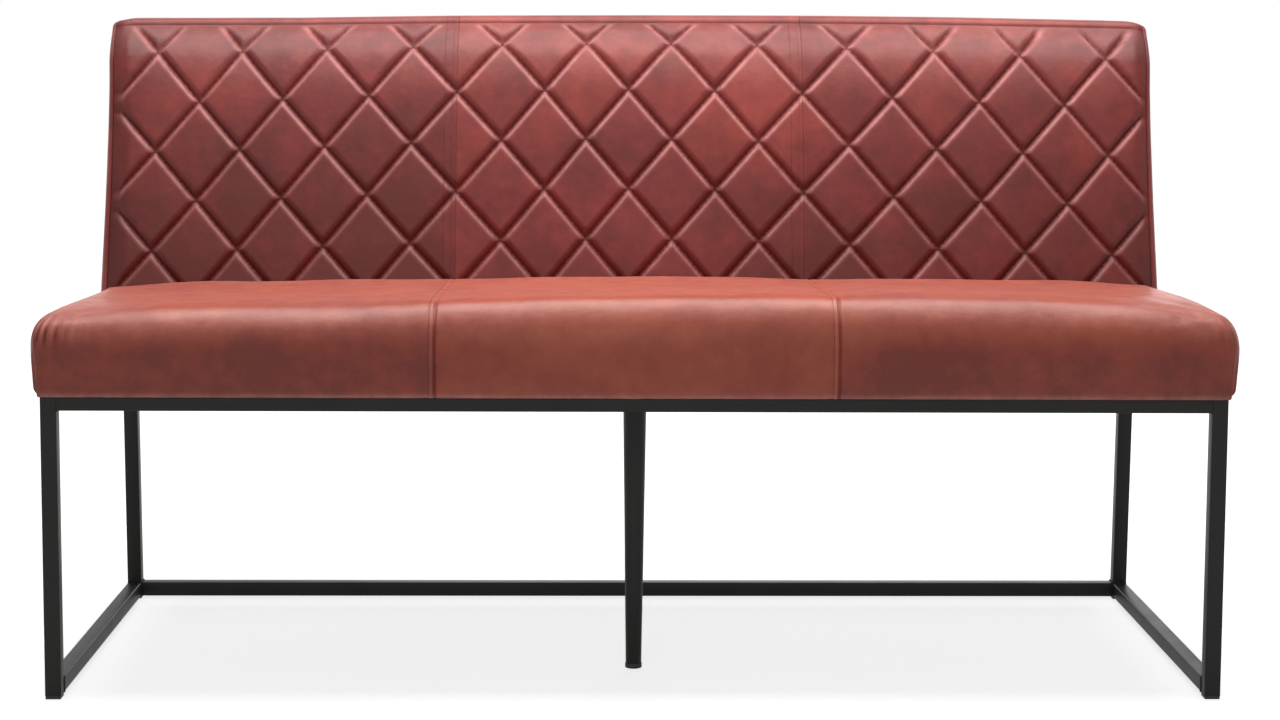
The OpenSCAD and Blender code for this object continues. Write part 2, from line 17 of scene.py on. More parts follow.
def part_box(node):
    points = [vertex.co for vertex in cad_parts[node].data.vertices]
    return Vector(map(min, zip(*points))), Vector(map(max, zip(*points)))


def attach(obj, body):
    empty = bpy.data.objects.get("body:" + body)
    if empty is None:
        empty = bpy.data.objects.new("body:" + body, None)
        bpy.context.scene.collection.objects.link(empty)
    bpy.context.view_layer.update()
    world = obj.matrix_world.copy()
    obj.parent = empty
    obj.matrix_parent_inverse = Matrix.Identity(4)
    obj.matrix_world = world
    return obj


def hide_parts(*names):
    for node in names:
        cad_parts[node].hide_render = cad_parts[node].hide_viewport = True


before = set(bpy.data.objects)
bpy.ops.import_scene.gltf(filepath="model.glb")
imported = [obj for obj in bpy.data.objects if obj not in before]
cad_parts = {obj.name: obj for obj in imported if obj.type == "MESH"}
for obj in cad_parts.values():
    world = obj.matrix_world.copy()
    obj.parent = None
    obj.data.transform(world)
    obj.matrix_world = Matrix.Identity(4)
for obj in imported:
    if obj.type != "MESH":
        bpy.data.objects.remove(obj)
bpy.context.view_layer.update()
scene = bpy.context.scene
scene.view_settings.view_transform = "Standard"

# %% [markdown]
# The camera comes first, because every later choice is judged through it. It stands about
# three metres in front of the bench, a little left of its middle and at the height of the
# back. Its position, turn and lens were fitted to the legs, rails and runners.

# %% Camera
eye = Vector((-0.0573, -3.2276, 0.8291))
turn, tilt, lean_over = 0.0204, 0.0962, 0.0055
across = Vector((math.cos(turn), -math.sin(turn), 0))
level = Vector((math.sin(turn), math.cos(turn), 0))
ahead = level * math.cos(tilt) - Vector((0, 0, math.sin(tilt)))
above = across.cross(ahead)
camera_x = across * math.cos(lean_over) + above * math.sin(lean_over)
camera_y = above * math.cos(lean_over) - across * math.sin(lean_over)
lens = bpy.data.cameras.new("camera")
lens.lens, lens.sensor_width = 67.5, 36
lens.shift_y = -0.0742
camera = bpy.data.objects.new("camera", lens)
camera.matrix_world = Matrix.Translation(eye) @ Matrix((camera_x, camera_y, -ahead)).transposed().to_4x4()
scene.collection.objects.link(camera)
scene.camera = camera
print("camera at", [round(v, 3) for v in camera.location], "lens", lens.lens)

# %% [markdown]
# Colours are written as they look on a screen and turned to linear light by one function.
# One more function adds a node, sets it and links it, for materials and for Geometry Nodes.
# A material opens with its object's own coordinates and closes with its main shader.

# %% Helpers for colours, nodes and materials
def linear(code):
    """A screen colour such as #a4503f as linear red, green, blue and alpha."""
    parts = [int(code[k:k + 2], 16) / 255 for k in (1, 3, 5)]
    return tuple(c / 12.92 if c <= 0.04045 else ((c + 0.055) / 1.055) ** 2.4 for c in parts) + (1.0,)


def add(tree, kind, inputs=None, stops=None, **settings):
    """Adds a node with its settings; inputs are values, sockets, or nodes whose first output is linked."""
    node = tree.nodes.new(kind)
    for key, value in settings.items():
        setattr(node, key, value)
    for key, value in (inputs or {}).items():
        value = value.outputs[0] if isinstance(value, bpy.types.Node) else value
        if isinstance(value, bpy.types.NodeSocket):
            tree.links.new(value, node.inputs[key])
        else:
            node.inputs[key].default_value = value
    for k, (place, shade) in enumerate(stops or ()):
        ramp = node.color_ramp.elements
        stop = ramp[k] if k < 2 else ramp.new(place)
        stop.position = place
        stop.color = linear(shade) if isinstance(shade, str) else (shade, shade, shade, 1)
    return node


def opened(name):
    """A new material, its empty node tree, and the object's own coordinates in it."""
    material = bpy.data.materials.new(name)
    material.use_nodes = True
    tree = material.node_tree
    tree.nodes.clear()
    return material, tree, add(tree, "ShaderNodeTexCoord").outputs["Object"]


def closed(material, inputs):
    """The same material with its main shader and its output."""
    shader = add(material.node_tree, "ShaderNodeBsdfPrincipled", inputs)
    add(material.node_tree, "ShaderNodeOutputMaterial", {"Surface": shader})
    return material


print("clay red in linear light:", [round(v, 3) for v in linear("#a4503f")[:3]])

# %% [markdown]
# ## Leather
# Waxed pull-up leather: a full-grain hide, drum dyed red-brown and filled with wax and oil.
# Its wax gives a wide, milky highlight. Where the hide is stretched over padding it pales,
# and in folds and beside seams it stays dark. On top of that, highlights are painted on lit
# edges and rolls, and shade is painted in channels, folds, grooves and on faces that get less
# light. Each panel is cut from another part of the hide, so its tone differs a little. The
# mesh carries all this in attributes: tone and painted shade, wear and painted highlight,
# crease and painted shade, the distance to a seam, and the way along a line of stitches and
# the nearness to it. The pebbled grain is about 1 mm on the hide and is drawn at 2.2 mm here.

# %% Leather material
# How far from a seam its section is drawn, and the length of a quilting stitch
SEAM_REACH, QUILT_STITCH = 16.0, 7.0


def leather(name, shades, roughness, shine):
    """Shades are four of the dye, then the pale of stretched hide and painted highlights, and the dark of folds and
    painted shade.
    """
    material, tree, place = opened(name)
    tone_and_shade, wear_and_highlight, crease_and_shade, seam, along, near = (
        add(tree, "ShaderNodeAttribute", attribute_name=kind).outputs["Fac"]
        for kind in ("tone_and_shade", "wear_and_highlight", "crease_and_shade", "seam", "along", "near"))

    # Clouds of dye, about 110 mm and 25 mm across
    clouds = add(tree, "ShaderNodeTexNoise", {"Vector": place, "Scale": 9.0, "Detail": 4.0, "Roughness": 0.55})
    flecks = add(tree, "ShaderNodeTexNoise", {"Vector": place, "Scale": 40.0, "Detail": 5.0, "Roughness": 0.6})
    mixed = add(tree, "ShaderNodeMath", {0: clouds, 1: 0.62}, operation="MULTIPLY")
    mixed = add(tree, "ShaderNodeMath", {0: flecks, 1: 0.38, 2: mixed}, operation="MULTIPLY_ADD")
    mixed = add(tree, "ShaderNodeMath", {0: tone_and_shade, 1: 0.16, 2: mixed}, operation="MULTIPLY_ADD")
    dye = add(tree, "ShaderNodeValToRGB", {"Fac": mixed},
              stops=[(0.30, shades[0]), (0.59, shades[2]), (0.45, shades[1]), (0.75, shades[3])])

    # The hide pales where it is stretched and where highlights are painted, and darkens in its folds and where shade
    # is painted
    patchy = add(tree, "ShaderNodeMath", {0: flecks, 1: wear_and_highlight}, operation="MULTIPLY")
    pale_and_highlight = add(tree, "ShaderNodeMix", {0: patchy, 6: dye, 7: linear(shades[4])}, data_type="RGBA")
    fold_and_shade = add(tree, "ShaderNodeMix", {0: crease_and_shade, 6: pale_and_highlight.outputs[2], 7: linear(shades[5])}, data_type="RGBA")

    # Wax lies unevenly, so the sheen is broken up, and folds and painted shade hardly shine
    gloss = add(tree, "ShaderNodeMapRange", {"Value": mixed, "From Min": 0.35, "From Max": 0.75,
                                             "To Min": roughness + 0.07, "To Max": roughness - 0.06})
    level = add(tree, "ShaderNodeMapRange", {"Value": crease_and_shade, "From Max": 0.6, "To Min": shine, "To Max": 0.1})

    # Pebbled grain, soft wrinkles of the hide, then the needle's puckers and the sewn seam
    pebbles = add(tree, "ShaderNodeTexVoronoi", {"Vector": place, "Scale": 450.0, "Randomness": 1.0},
                  feature="DISTANCE_TO_EDGE")
    pebble = add(tree, "ShaderNodeMapRange", {"Value": pebbles, "From Max": 0.28})
    grain = add(tree, "ShaderNodeBump", {"Strength": 0.5, "Distance": 0.00012, "Height": pebble})
    hide = add(tree, "ShaderNodeTexNoise", {"Vector": place, "Scale": 90.0, "Detail": 6.0, "Roughness": 0.62})
    wrinkles = add(tree, "ShaderNodeBump", {"Strength": 0.5, "Distance": 0.0011, "Height": hide, "Normal": grain})
    beat = add(tree, "ShaderNodeMath", {0: along, 1: 2 * math.pi / QUILT_STITCH}, operation="MULTIPLY")
    beat = add(tree, "ShaderNodeMath", {0: beat}, operation="SINE")
    beat = add(tree, "ShaderNodeMath", {0: beat, 1: near}, operation="MULTIPLY")
    puckers = add(tree, "ShaderNodeBump", {"Strength": 0.5, "Distance": 0.00025, "Height": beat, "Normal": wrinkles})
    span = add(tree, "ShaderNodeMapRange", {"Value": seam, "From Min": -SEAM_REACH, "From Max": SEAM_REACH})
    section = add(tree, "ShaderNodeValToRGB", {"Fac": span},
                  stops=[(0.0, 0.5), (1.0, 0.5), (0.235, 0.5), (0.265, 0.34), (0.295, 0.62), (0.44, 0.75),
                         (0.475, 0.62), (0.50, 0.0), (0.53, 0.56), (0.60, 0.6), (0.74, 0.5)])
    sewn = add(tree, "ShaderNodeBump", {"Strength": 0.8, "Distance": 0.0016, "Height": section, "Normal": puckers})
    return closed(material, {"Base Color": fold_and_shade.outputs[2], "Roughness": gloss, "IOR": 1.48,
                             "Specular IOR Level": level, "Specular Tint": (1.0, 0.9, 0.84, 1.0),
                             "Coat Weight": 0.12, "Coat Roughness": 0.3, "Normal": sewn})


# The fifth shade is the pale of stretched hide and of painted highlights, the sixth the dark of folds and of painted
# shade
SEAT_HIDE = ("#78281d", "#943929", "#a34630", "#b45238", "#cf8a80", "#561f1a")
# The back is the same hide as the seat in darker shades: painted shade, for a back that gets less light than the seat
SHADED_BACK_HIDE = ("#5a1d1b", "#6f2725", "#83322d", "#963e36", "#c07b78", "#520f0e")
seat_leather = leather("waxed_seat_leather", SEAT_HIDE, 0.43, 0.5)
back_leather = leather("waxed_back_leather_shaded", SHADED_BACK_HIDE, 0.42, 0.36)
print("leather nodes:", len(seat_leather.node_tree.nodes))

# %% [markdown]
# ## Steel, nylon, zinc and thread
# The base is mild steel tube, shot blasted and powder coated matt black. Powder melts into a
# skin with a fine orange peel of about 0.7 mm, so its sheen is dull and a little cloudy. The
# glides are moulded nylon. The fixings are zinc plated, with a faint yellow-blue bloom. The
# thread is bonded polyester, dyed a shade darker than the hide.

# %% Hard materials
def powder_coat():
    material, tree, place = opened("powder_coated_steel")
    peel = add(tree, "ShaderNodeTexNoise", {"Vector": place, "Scale": 1400.0, "Detail": 3.0, "Roughness": 0.6})
    cloud = add(tree, "ShaderNodeTexNoise", {"Vector": place, "Scale": 18.0, "Detail": 4.0})
    colour = add(tree, "ShaderNodeValToRGB", {"Fac": cloud}, stops=[(0.3, "#10100e"), (0.7, "#181815")])
    dull = add(tree, "ShaderNodeMapRange", {"Value": cloud, "To Min": 0.50, "To Max": 0.38})
    bump = add(tree, "ShaderNodeBump", {"Strength": 0.4, "Distance": 0.00012, "Height": peel})
    return closed(material, {"Base Color": colour, "Roughness": dull, "Specular IOR Level": 0.25, "Normal": bump})


def zinc():
    material, tree, place = opened("zinc_plate")
    bloom = add(tree, "ShaderNodeTexNoise", {"Vector": place, "Scale": 60.0, "Detail": 4.0})
    colour = add(tree, "ShaderNodeValToRGB", {"Fac": bloom},
                 stops=[(0.3, "#aab0b6"), (0.72, "#c9c6b4"), (0.5, "#bcbfc2")])
    dull = add(tree, "ShaderNodeMapRange", {"Value": bloom, "To Min": 0.28, "To Max": 0.48})
    return closed(material, {"Base Color": colour, "Roughness": dull, "Metallic": 1.0})


def surface(name, kind, inputs, stops, relief, roughness, out=0, **settings):
    """A material of one texture that colours and raises it; relief is a strength and a height in metres."""
    material, tree, place = opened(name)
    grain = add(tree, kind, {"Vector": place, **inputs}, **settings).outputs[out]
    colour = add(tree, "ShaderNodeValToRGB", {"Fac": grain}, stops=stops)
    bump = add(tree, "ShaderNodeBump", {"Strength": relief[0], "Distance": relief[1], "Height": grain})
    return closed(material, {"Base Color": colour, "Roughness": roughness, "Normal": bump})


steel_black, zinc_bright = powder_coat(), zinc()
# The mould's fine spark marks keep the nylon from shining
nylon_black = surface("moulded_nylon", "ShaderNodeTexNoise", {"Scale": 900.0, "Detail": 2.0},
                      [(0.35, "#141415"), (0.7, "#1d1d1f")], (0.3, 0.0001), 0.55)
# The thread's twisted plies catch the light in short flecks
thread_red = surface("bonded_thread", "ShaderNodeTexNoise", {"Scale": 1500.0, "Detail": 2.0},
                     [(0.35, "#5e241c"), (0.7, "#7d3428")], (0.6, 0.0001), 0.6)
print("hard materials:", [m.name for m in (steel_black, nylon_black, zinc_bright, thread_red)])

# %% [markdown]
# ## Timber, board, webbing, foam and lining
# These are hidden inside the finished bench, but a buyer may lift the covers off the model.
# Beech has straight grain with short dark flecks of 2 to 3 mm. Plywood is paler and wider in
# its figure. Webbing is woven in ribs 6 mm apart, foam has open cells of about 1 mm, and the
# lining underneath is a black felted cloth with a bonded pattern of dots 2.5 mm apart.

# %% Inner materials
def timber(name, dark, light, flecks_on):
    material, tree, place = opened(name)
    run = add(tree, "ShaderNodeMapping", {"Vector": place, "Scale": (1.0, 14.0, 14.0)})
    rings = add(tree, "ShaderNodeTexNoise", {"Vector": run, "Scale": 9.0, "Detail": 6.0, "Roughness": 0.6,
                                             "Distortion": 0.4})
    figure = add(tree, "ShaderNodeValToRGB", {"Fac": rings}, stops=[(0.32, dark), (0.66, light)])
    short = add(tree, "ShaderNodeMapping", {"Vector": place, "Scale": (1.0, 5.0, 5.0)})
    rays = add(tree, "ShaderNodeTexVoronoi", {"Vector": short, "Scale": 300.0})
    fleck = add(tree, "ShaderNodeMapRange", {"Value": rays, "From Min": 0.1, "From Max": 0.35,
                                             "To Min": flecks_on, "To Max": 0.0})
    colour = add(tree, "ShaderNodeMix", {0: fleck, 6: figure, 7: linear(dark)}, data_type="RGBA")
    bump = add(tree, "ShaderNodeBump", {"Strength": 0.4, "Distance": 0.0003, "Height": rings})
    return closed(material, {"Base Color": colour.outputs[2], "Roughness": 0.62, "Normal": bump})


def lining():
    material, tree, place = opened("felted_lining")
    fibres = add(tree, "ShaderNodeTexNoise", {"Vector": place, "Scale": 500.0, "Detail": 6.0, "Roughness": 0.7})
    dots = add(tree, "ShaderNodeTexVoronoi", {"Vector": place, "Scale": 400.0, "Randomness": 0.15})
    bond = add(tree, "ShaderNodeMapRange", {"Value": dots, "From Min": 0.15, "From Max": 0.4})
    relief = add(tree, "ShaderNodeMath", {0: bond, 1: fibres}, operation="ADD")
    colour = add(tree, "ShaderNodeValToRGB", {"Fac": fibres}, stops=[(0.35, "#151517"), (0.7, "#2b2b2e")])
    bump = add(tree, "ShaderNodeBump", {"Strength": 0.6, "Distance": 0.0004, "Height": relief})
    return closed(material, {"Base Color": colour, "Roughness": 0.92, "Normal": bump})


beech = timber("sawn_beech", "#a97747", "#d4ab7b", 0.5)
plywood = timber("birch_plywood", "#b48a58", "#d9b98c", 0.1)
# Webbing is woven of dull yarn, so its ribs show as soft grey lines
webbing_black = surface("woven_webbing", "ShaderNodeTexWave", {"Scale": 53.0, "Distortion": 0.6},
                        [(0.2, "#262628"), (0.8, "#48484c")], (0.8, 0.0006), 0.85, out="Fac", bands_direction="Y")
# Cutting opens the foam's cells, and their insides are painted darker than their walls, as shade
foam_cream = surface("cut_foam", "ShaderNodeTexVoronoi", {"Scale": 800.0},
                     [(0.1, "#d8cb98"), (0.6, "#efe6c0")], (0.7, 0.0006), 0.9)
lining_black = lining()
print("inner materials:", [m.name for m in (beech, plywood, webbing_black, foam_cream, lining_black)])

# %% [markdown]
# ## Where everything is
# The soft pieces are measured from the middle of the frame's front face, in millimetres. The
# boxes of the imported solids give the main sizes, so the covers land on the frame by
# themselves. What a box can't tell, such as the lean of the back, is named here.

# %% Sizes
MM = 0.001


def box_of(node):
    """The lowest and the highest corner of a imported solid, in millimetres."""
    return [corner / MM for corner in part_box(node)]


rail_low, rail_high = box_of("front_top_rail")
seat_high, back_high = box_of("seat_cover")[1], box_of("back_quilted_cover")[1]
front_line = rail_low.y
frame_top = rail_high.z
frame_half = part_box("front_leg_right")[1].x / MM
frame_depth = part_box("rear_top_rail")[1].y / MM - front_line
seat_half = seat_high.x
back_half = back_high.x
back_top = back_high.z
rear_top = back_high.y - front_line
print("frame", round(2 * frame_half), "x", round(frame_depth), "top", round(frame_top))
print("seat", round(2 * seat_half), "back", round(2 * back_half), "x", round(back_top))

# Where the back's face meets the frame, its lean, the rise of its top edge and the roll of its sides
BACK_FOOT, LEAN = 415.0, math.radians(12.0)
TOP_CROWN, SIDE_ROLL = 4.0, 14.0
# The quilting: its panels, the diamonds across one and their height, how far below the top edge the
# lines cross, how far the rows sag at the ends, and how high the pads stand
PANELS, DIAMONDS, DIAMOND_H = 3, 4, 142.0
QUILT_DROP, QUILT_BOW, PUFF = 53.3, 20.0, 9.5
# The seat's rear edge above the floor, and the row of topstitching beside each seam
SEAT_EDGE, TOPSTITCH = frame_top + 88.0, 7.5
seam_at = 2 * back_half / PANELS / 2
pitch = 2 * back_half / PANELS / DIAMONDS


def face_y(z):
    """Front face of the back at a height above the floor."""
    return BACK_FOOT + (z - frame_top) * math.tan(LEAN)


def rear_y(z):
    """Rear face of the back at a height above the floor."""
    return frame_depth + (z - frame_top) * (rear_top - frame_depth) / (back_top - frame_top)


def smooth(t):
    """A soft step from 0 to 1."""
    t = np.clip(t, 0, 1)
    return t * t * (3 - 2 * t)


def bell(distance, width):
    """1 at no distance, about a third at the width, and next to nothing at twice the width."""
    return np.exp(-(distance / width) ** 2)


def right_of_seam(x):
    """How far a place is to the right of the nearer panel seam."""
    return x - np.where(x < 0, -seam_at, seam_at)


def by_panel(x, left, middle, right):
    """One of three values, by the panel that a place is in."""
    return np.where(x < -seam_at, left, np.where(x < seam_at, middle, right))


# %% [markdown]
# Meshes are made from lists of points. A grid of points becomes quads by counting, which is
# quick for a hundred thousand of them. Attributes are written on the points, for the leather.

# %% Helpers for meshes
def build(name, points, faces, edges=()):
    """A mesh object from points in millimetres, placed in the shared frame."""
    spots = (np.asarray(points, float) + (0, front_line, 0)) * MM
    mesh = bpy.data.meshes.new(name)
    mesh.from_pydata(spots.tolist(), list(edges), [list(f) for f in faces])
    mesh.shade_smooth()
    obj = bpy.data.objects.new(name, mesh)
    scene.collection.objects.link(obj)
    return obj


def points_of(obj, kind="co"):
    """The points of a mesh, or their normals, as rows of numbers; points in millimetres."""
    values = np.empty(len(obj.data.vertices) * 3, np.float32)
    if kind == "co":
        obj.data.vertices.foreach_get("co", values)
        return values.reshape(-1, 3) / MM - (0, front_line, 0)
    obj.data.vertices.foreach_get("normal", values)
    return values.reshape(-1, 3).astype(float)


def move_to(obj, points):
    """Puts the points of a mesh where they are given, in millimetres."""
    spots = ((np.asarray(points) + (0, front_line, 0)) * MM).astype(np.float32)
    obj.data.vertices.foreach_set("co", spots.ravel())
    obj.data.update()


def note(obj, tone_and_shade, wear_and_highlight, crease_and_shade, seam=SEAM_REACH, along=0, near=0):
    """Writes what the leather's material reads at each point."""
    for name, value in (("tone_and_shade", tone_and_shade), ("wear_and_highlight", wear_and_highlight), ("crease_and_shade", crease_and_shade),
                        ("seam", seam), ("along", along), ("near", near)):
        numbers = np.broadcast_to(np.asarray(value, np.float32).ravel(), len(obj.data.vertices))
        obj.data.attributes.new(name, "FLOAT", "POINT").data.foreach_set("value", numbers.copy())


def quads(numbers):
    """Four corners for each cell of a grid of point numbers."""
    return np.stack([numbers[:-1, :-1], numbers[:-1, 1:], numbers[1:, 1:], numbers[1:, :-1]], -1).reshape(-1, 4)


def dress(obj, material, nodes=()):
    """Gives a finished piece its material and its place in the frame."""
    obj.data.materials.clear()
    obj.data.materials.append(material)
    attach(obj, "root")
    if nodes:
        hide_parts(*nodes)


def along_curve(values, at, axis=0):
    """Reads a row of values between its points, on a smooth Catmull-Rom curve."""
    row = np.moveaxis(np.asarray(values, float), axis, 0)
    at = np.clip(np.asarray(at, float), 0, len(row) - 1)
    k = np.minimum(at.astype(int), len(row) - 2)
    f = (at - k).reshape((-1,) + (1,) * (row.ndim - 1))
    a, b, c, d = (row[np.clip(k + step, 0, len(row) - 1)] for step in (-1, 0, 1, 2))
    curve = 0.5 * (2 * b + (c - a) * f + (2 * a - 5 * b + 4 * c - d) * f ** 2 + (3 * b - a - 3 * c + d) * f ** 3)
    return np.moveaxis(curve, 0, axis)


print("a quarter of the way from 0 to 1:", along_curve([0, 0, 1, 1], [1.25]))

# %% [markdown]
# ## Padding by cloth simulation
# Leather is sewn or stapled down at its seams and edges, and the foam pushes it out between
# them. A cloth simulation does the same: a light grid starts pressed in a little, is pinned at
# the seams, and is blown out by pressure with gravity off. The movement of each point is
# capped. It is then read off and laid over the fine grid, so the fine grid keeps its crisp
# seams and no cloth modifier is left.

# %% Cloth simulation
FRAMES = 20


def billow(points, faces, pins, cap, backing=0.0):
    """How far each point of a pinned sheet moves out, in millimetres. The backing is the foam's own hold on it."""
    sheet = build("light_sheet", points, faces)
    group = sheet.vertex_groups.new(name="pins")
    pins = np.maximum(pins, backing)
    for weight in np.unique(pins[pins > 0]):
        group.add(np.nonzero(pins == weight)[0].tolist(), float(weight), "REPLACE")
    cloth = sheet.modifiers.new("cloth", "CLOTH")
    cloth.settings.quality = 4
    cloth.settings.mass = 0.4
    cloth.settings.tension_stiffness = 60
    cloth.settings.compression_stiffness = 60
    cloth.settings.shear_stiffness = 30
    cloth.settings.bending_stiffness = 8.0
    cloth.settings.vertex_group_mass = "pins"
    cloth.settings.use_pressure = True
    cloth.settings.uniform_pressure_force = 4.0
    cloth.settings.effector_weights.gravity = 0
    cloth.collision_settings.use_collision = False
    cloth.point_cache.frame_end = FRAMES
    for step in range(1, FRAMES + 1):
        scene.frame_set(step)
    settled = sheet.evaluated_get(bpy.context.evaluated_depsgraph_get())
    moved = points_of(settled) - points_of(sheet)
    bpy.data.objects.remove(sheet)
    scene.frame_set(1)
    far = np.linalg.norm(moved, axis=1)
    print("moved: middle point", round(float(np.median(far)), 2), "mm, furthest", round(float(far.max()), 2))
    return moved * np.minimum(1, cap / np.maximum(far, 1e-6))[:, None]


# %% [markdown]
# ## Seat cushion
# A foam block on webbing, under one long cover of three panels. The top and front are one
# piece of leather, so the front edge is a soft roll of 40 mm with no seam along it. The ends
# turn down on tighter rolls, 17.5 mm at the left and 26 mm at the right. The cover draws in
# below the middle of its height and is turned under the rail with a small rim. It could be a
# subdivided box, but a grid that follows the leather gives sharp seams and lets the crown,
# rolls and rim be set by real sizes.
#
# The grid has two parts: the top, which is a plain grid of rows, and the wall, which is a
# set of rings round the top's border.

# %% Seat shape
# The rolls at the four edges, how far each end drops, the height where the front turns upright, the
# swell over the frame, and the radii of the corners: of the top, of the wall and of its rim
ROLL_FRONT, ROLL_LEFT, ROLL_RIGHT, ROLL_REAR = 40.0, 17.5, 26.0, 12.0
DROP_LEFT, DROP_RIGHT, FRONT_FACE = 36.0, 48.0, 441.0
SWELL_FRONT, SWELL_LEFT, SWELL_RIGHT, CORNER, PLAN_CORNER, RIM_CORNER = 12.0, 11.0, 12.8, 10.0, 20.0, 6.0
REAR_PRESS = 4.0
seat_x0, seat_x1 = ROLL_LEFT - frame_half - SWELL_LEFT, frame_half + SWELL_RIGHT - ROLL_RIGHT
seat_y0, seat_y1 = ROLL_FRONT - SWELL_FRONT, face_y(SEAT_EDGE + 14) - ROLL_REAR - REAR_PRESS

# Heights of the top at the front crest and at the rear, at 13 places from the left end to the right
CREST = np.array([479, 485.5, 489, 490.5, 496, 499.5, 501.5, 503.5, 503.5, 503, 500.5, 495, 485])
REAR = np.array([470.5, 478, 479.5, 483, 485, 487, 487.5, 488, 486.5, 485.5, 484, 483, 478])

# Height, share of the swell, and stand-off from the rail, down the wall to the turned rim
WALL = np.array([(431, 1, 0), (424, 0.97, 0), (412, 0.90, 0), (402, 0.82, 0), (394, 0.73, 0), (389, 0.64, 0),
                 (386.0, 0.54, 0), (384.3, 0.46, 0.4), (382.8, 0.40, 1.9), (381.3, 0.34, 1.9), (380.3, 0.20, 0.9),
                 (380.9, 0, 0.5), (383.25, 0, 0.2), (383.3, 0, -12), (383.3, 0, -21.5), (384.6, 0, -22),
                 (384.7, 0, -12)], float)


def crown(x, y):
    """Height of the seat's top: highest along its front, lower at the ends and towards the back."""
    at = (np.clip(x / seat_half, -1, 1) + 1) * 6
    front = along_curve(CREST, np.ravel(at)).reshape(np.shape(at))
    rear = along_curve(REAR, np.ravel(at)).reshape(np.shape(at))
    deep = np.clip((y - seat_y0) / (seat_y1 - seat_y0), 0, 1)
    puffed_end = deep * (1 - deep) * (14 * smooth((x - 600) / 130) + 6 * smooth((-x - 600) / 130))
    return front + (rear - front) * smooth(deep) + puffed_end


print("seat crest from", CREST.min(), "to", CREST.max(), "mm above the floor")

# %% [markdown]
# The shell is worked out for any columns and rows, so a light grid and a fine one follow the
# same rules. The wall leaves the border of the top in rings: first round the rolls, and then
# down the steps of the wall.

# %% Seat shell
def seat_shell(xs, ys, rolls, walls):
    """Points of the top and of the wall's rings, for columns xs, rows ys and two lists of steps."""
    x, y = np.meshgrid(xs, ys)
    for side, edge in ((-1, -xs[0]), (1, xs[-1])):
        cx, cy = side * x - (edge - CORNER), ys[0] + CORNER - y
        at = (cx > 0) & (cy > 0)
        rx = cx * np.sqrt(np.maximum(0, 1 - cy ** 2 / (2 * CORNER ** 2)))
        ry = cy * np.sqrt(np.maximum(0, 1 - cx ** 2 / (2 * CORNER ** 2)))
        x = np.where(at, side * (edge - CORNER + rx), x)
        y = np.where(at, ys[0] + CORNER - ry, y)
    top = np.stack([x, y, crown(x, y)], -1)

    nu, nv = len(xs) - 1, len(ys) - 1
    row = np.concatenate([np.zeros(nu), np.arange(nv), np.full(nu, nv), np.arange(nv, 0, -1)]).astype(int)
    col = np.concatenate([np.arange(nu), np.full(nv, nu), np.arange(nu, 0, -1), np.zeros(nv)]).astype(int)
    px, py, pz = top[row, col].T
    ends, rear, fore = (col == 0) | (col == nu), row == nv, row == 0
    side = np.where(px < 0, -1.0, 1.0)
    centre = np.where(px < 0, xs[0] + CORNER, xs[-1] - CORNER)
    bend = (side * (px - centre) > 0) & (py < ys[0] + CORNER) & (fore | ends)
    nx = np.where(bend, (px - centre) / CORNER, np.where(ends, side, 0.0))
    ny = np.where(bend, (py - ys[0] - CORNER) / CORNER, np.where(fore, -1.0, 0.0))
    drop_side = np.minimum(np.where(px < 0, DROP_LEFT, DROP_RIGHT), pz - FRONT_FACE + 3)
    drop = np.where(rear & ~ends, ROLL_REAR, (pz - FRONT_FACE) * ny ** 2 + drop_side * nx ** 2)
    depth = np.clip((py - ys[0] - CORNER) / (ys[-1] - ys[0] - CORNER), 0, 1)
    near_end = smooth((np.abs(px) - 500) / (np.abs(centre) - 500))

    def stand_at(z, share, stand, radius):
        """Plan of the wall, for its swell, its stand-off and the radius of its corners."""
        drawn = share * (1 - 0.6 * smooth((391 - z) / 9))
        sx = drawn * np.where(side < 0, SWELL_LEFT, SWELL_RIGHT) + (0.25 * stand if stand > 0 else stand)
        sy = share * SWELL_FRONT + stand
        corner_x = side * (frame_half + sx - radius)
        x_at = np.where(bend, corner_x + nx * radius, np.where(ends, side * (frame_half + sx),
                                                              px + (corner_x - centre) * near_end))
        line = face_y(z) - REAR_PRESS
        y_at = np.where(bend, radius - sy + ny * radius,
                        np.where(fore, -sy, radius - sy + depth * (line - radius + sy)))
        return x_at, np.where(rear, line, y_at)

    rings = []
    wide_x, wide_y = stand_at(pz - drop, 1.0, 0.0, PLAN_CORNER)
    for t in rolls:
        a = t * math.pi / 2
        rings.append(np.stack([px + (wide_x - px) * math.sin(a), py + (wide_y - py) * math.sin(a),
                               pz - drop * (1 - math.cos(a))], -1))
    heights = np.concatenate([(pz - drop)[None], np.repeat(WALL[:, :1], len(px), axis=1)])
    shares = np.concatenate([[(1, 0)], WALL[:, 1:]])
    for t in walls:
        z = along_curve(heights, [t])[0]
        share, stand = along_curve(shares, [t])[0]
        x_at, y_at = stand_at(z, share, stand, PLAN_CORNER + (RIM_CORNER - PLAN_CORNER) * float(smooth((t - 2) / 7)))
        y_at = np.where(rear, y_at - max(0, min(t, 15) - 12) * 8, y_at)
        rings.append(np.stack([x_at, y_at, z], -1))
    return top, np.array(rings)


def seat_faces(top, rings):
    """Quads of the top and the wall; the rings close on themselves."""
    rows, cols = top.shape[:2]
    numbers = np.arange(rows * cols).reshape(rows, cols)
    edge = np.concatenate([numbers[0, :-1], numbers[:-1, -1], numbers[-1, :0:-1], numbers[:0:-1, 0]])
    loops = [edge] + [rows * cols + k * len(edge) + np.arange(len(edge)) for k in range(len(rings))]
    loops = np.array(loops)[::-1]
    rounds = np.concatenate([loops, loops[:, :1]], axis=1)
    return np.concatenate([quads(numbers), quads(rounds)])


print("wall from", WALL[0, 0], "down to", WALL[:, 0].min(), "mm above the floor, in", len(WALL), "steps")

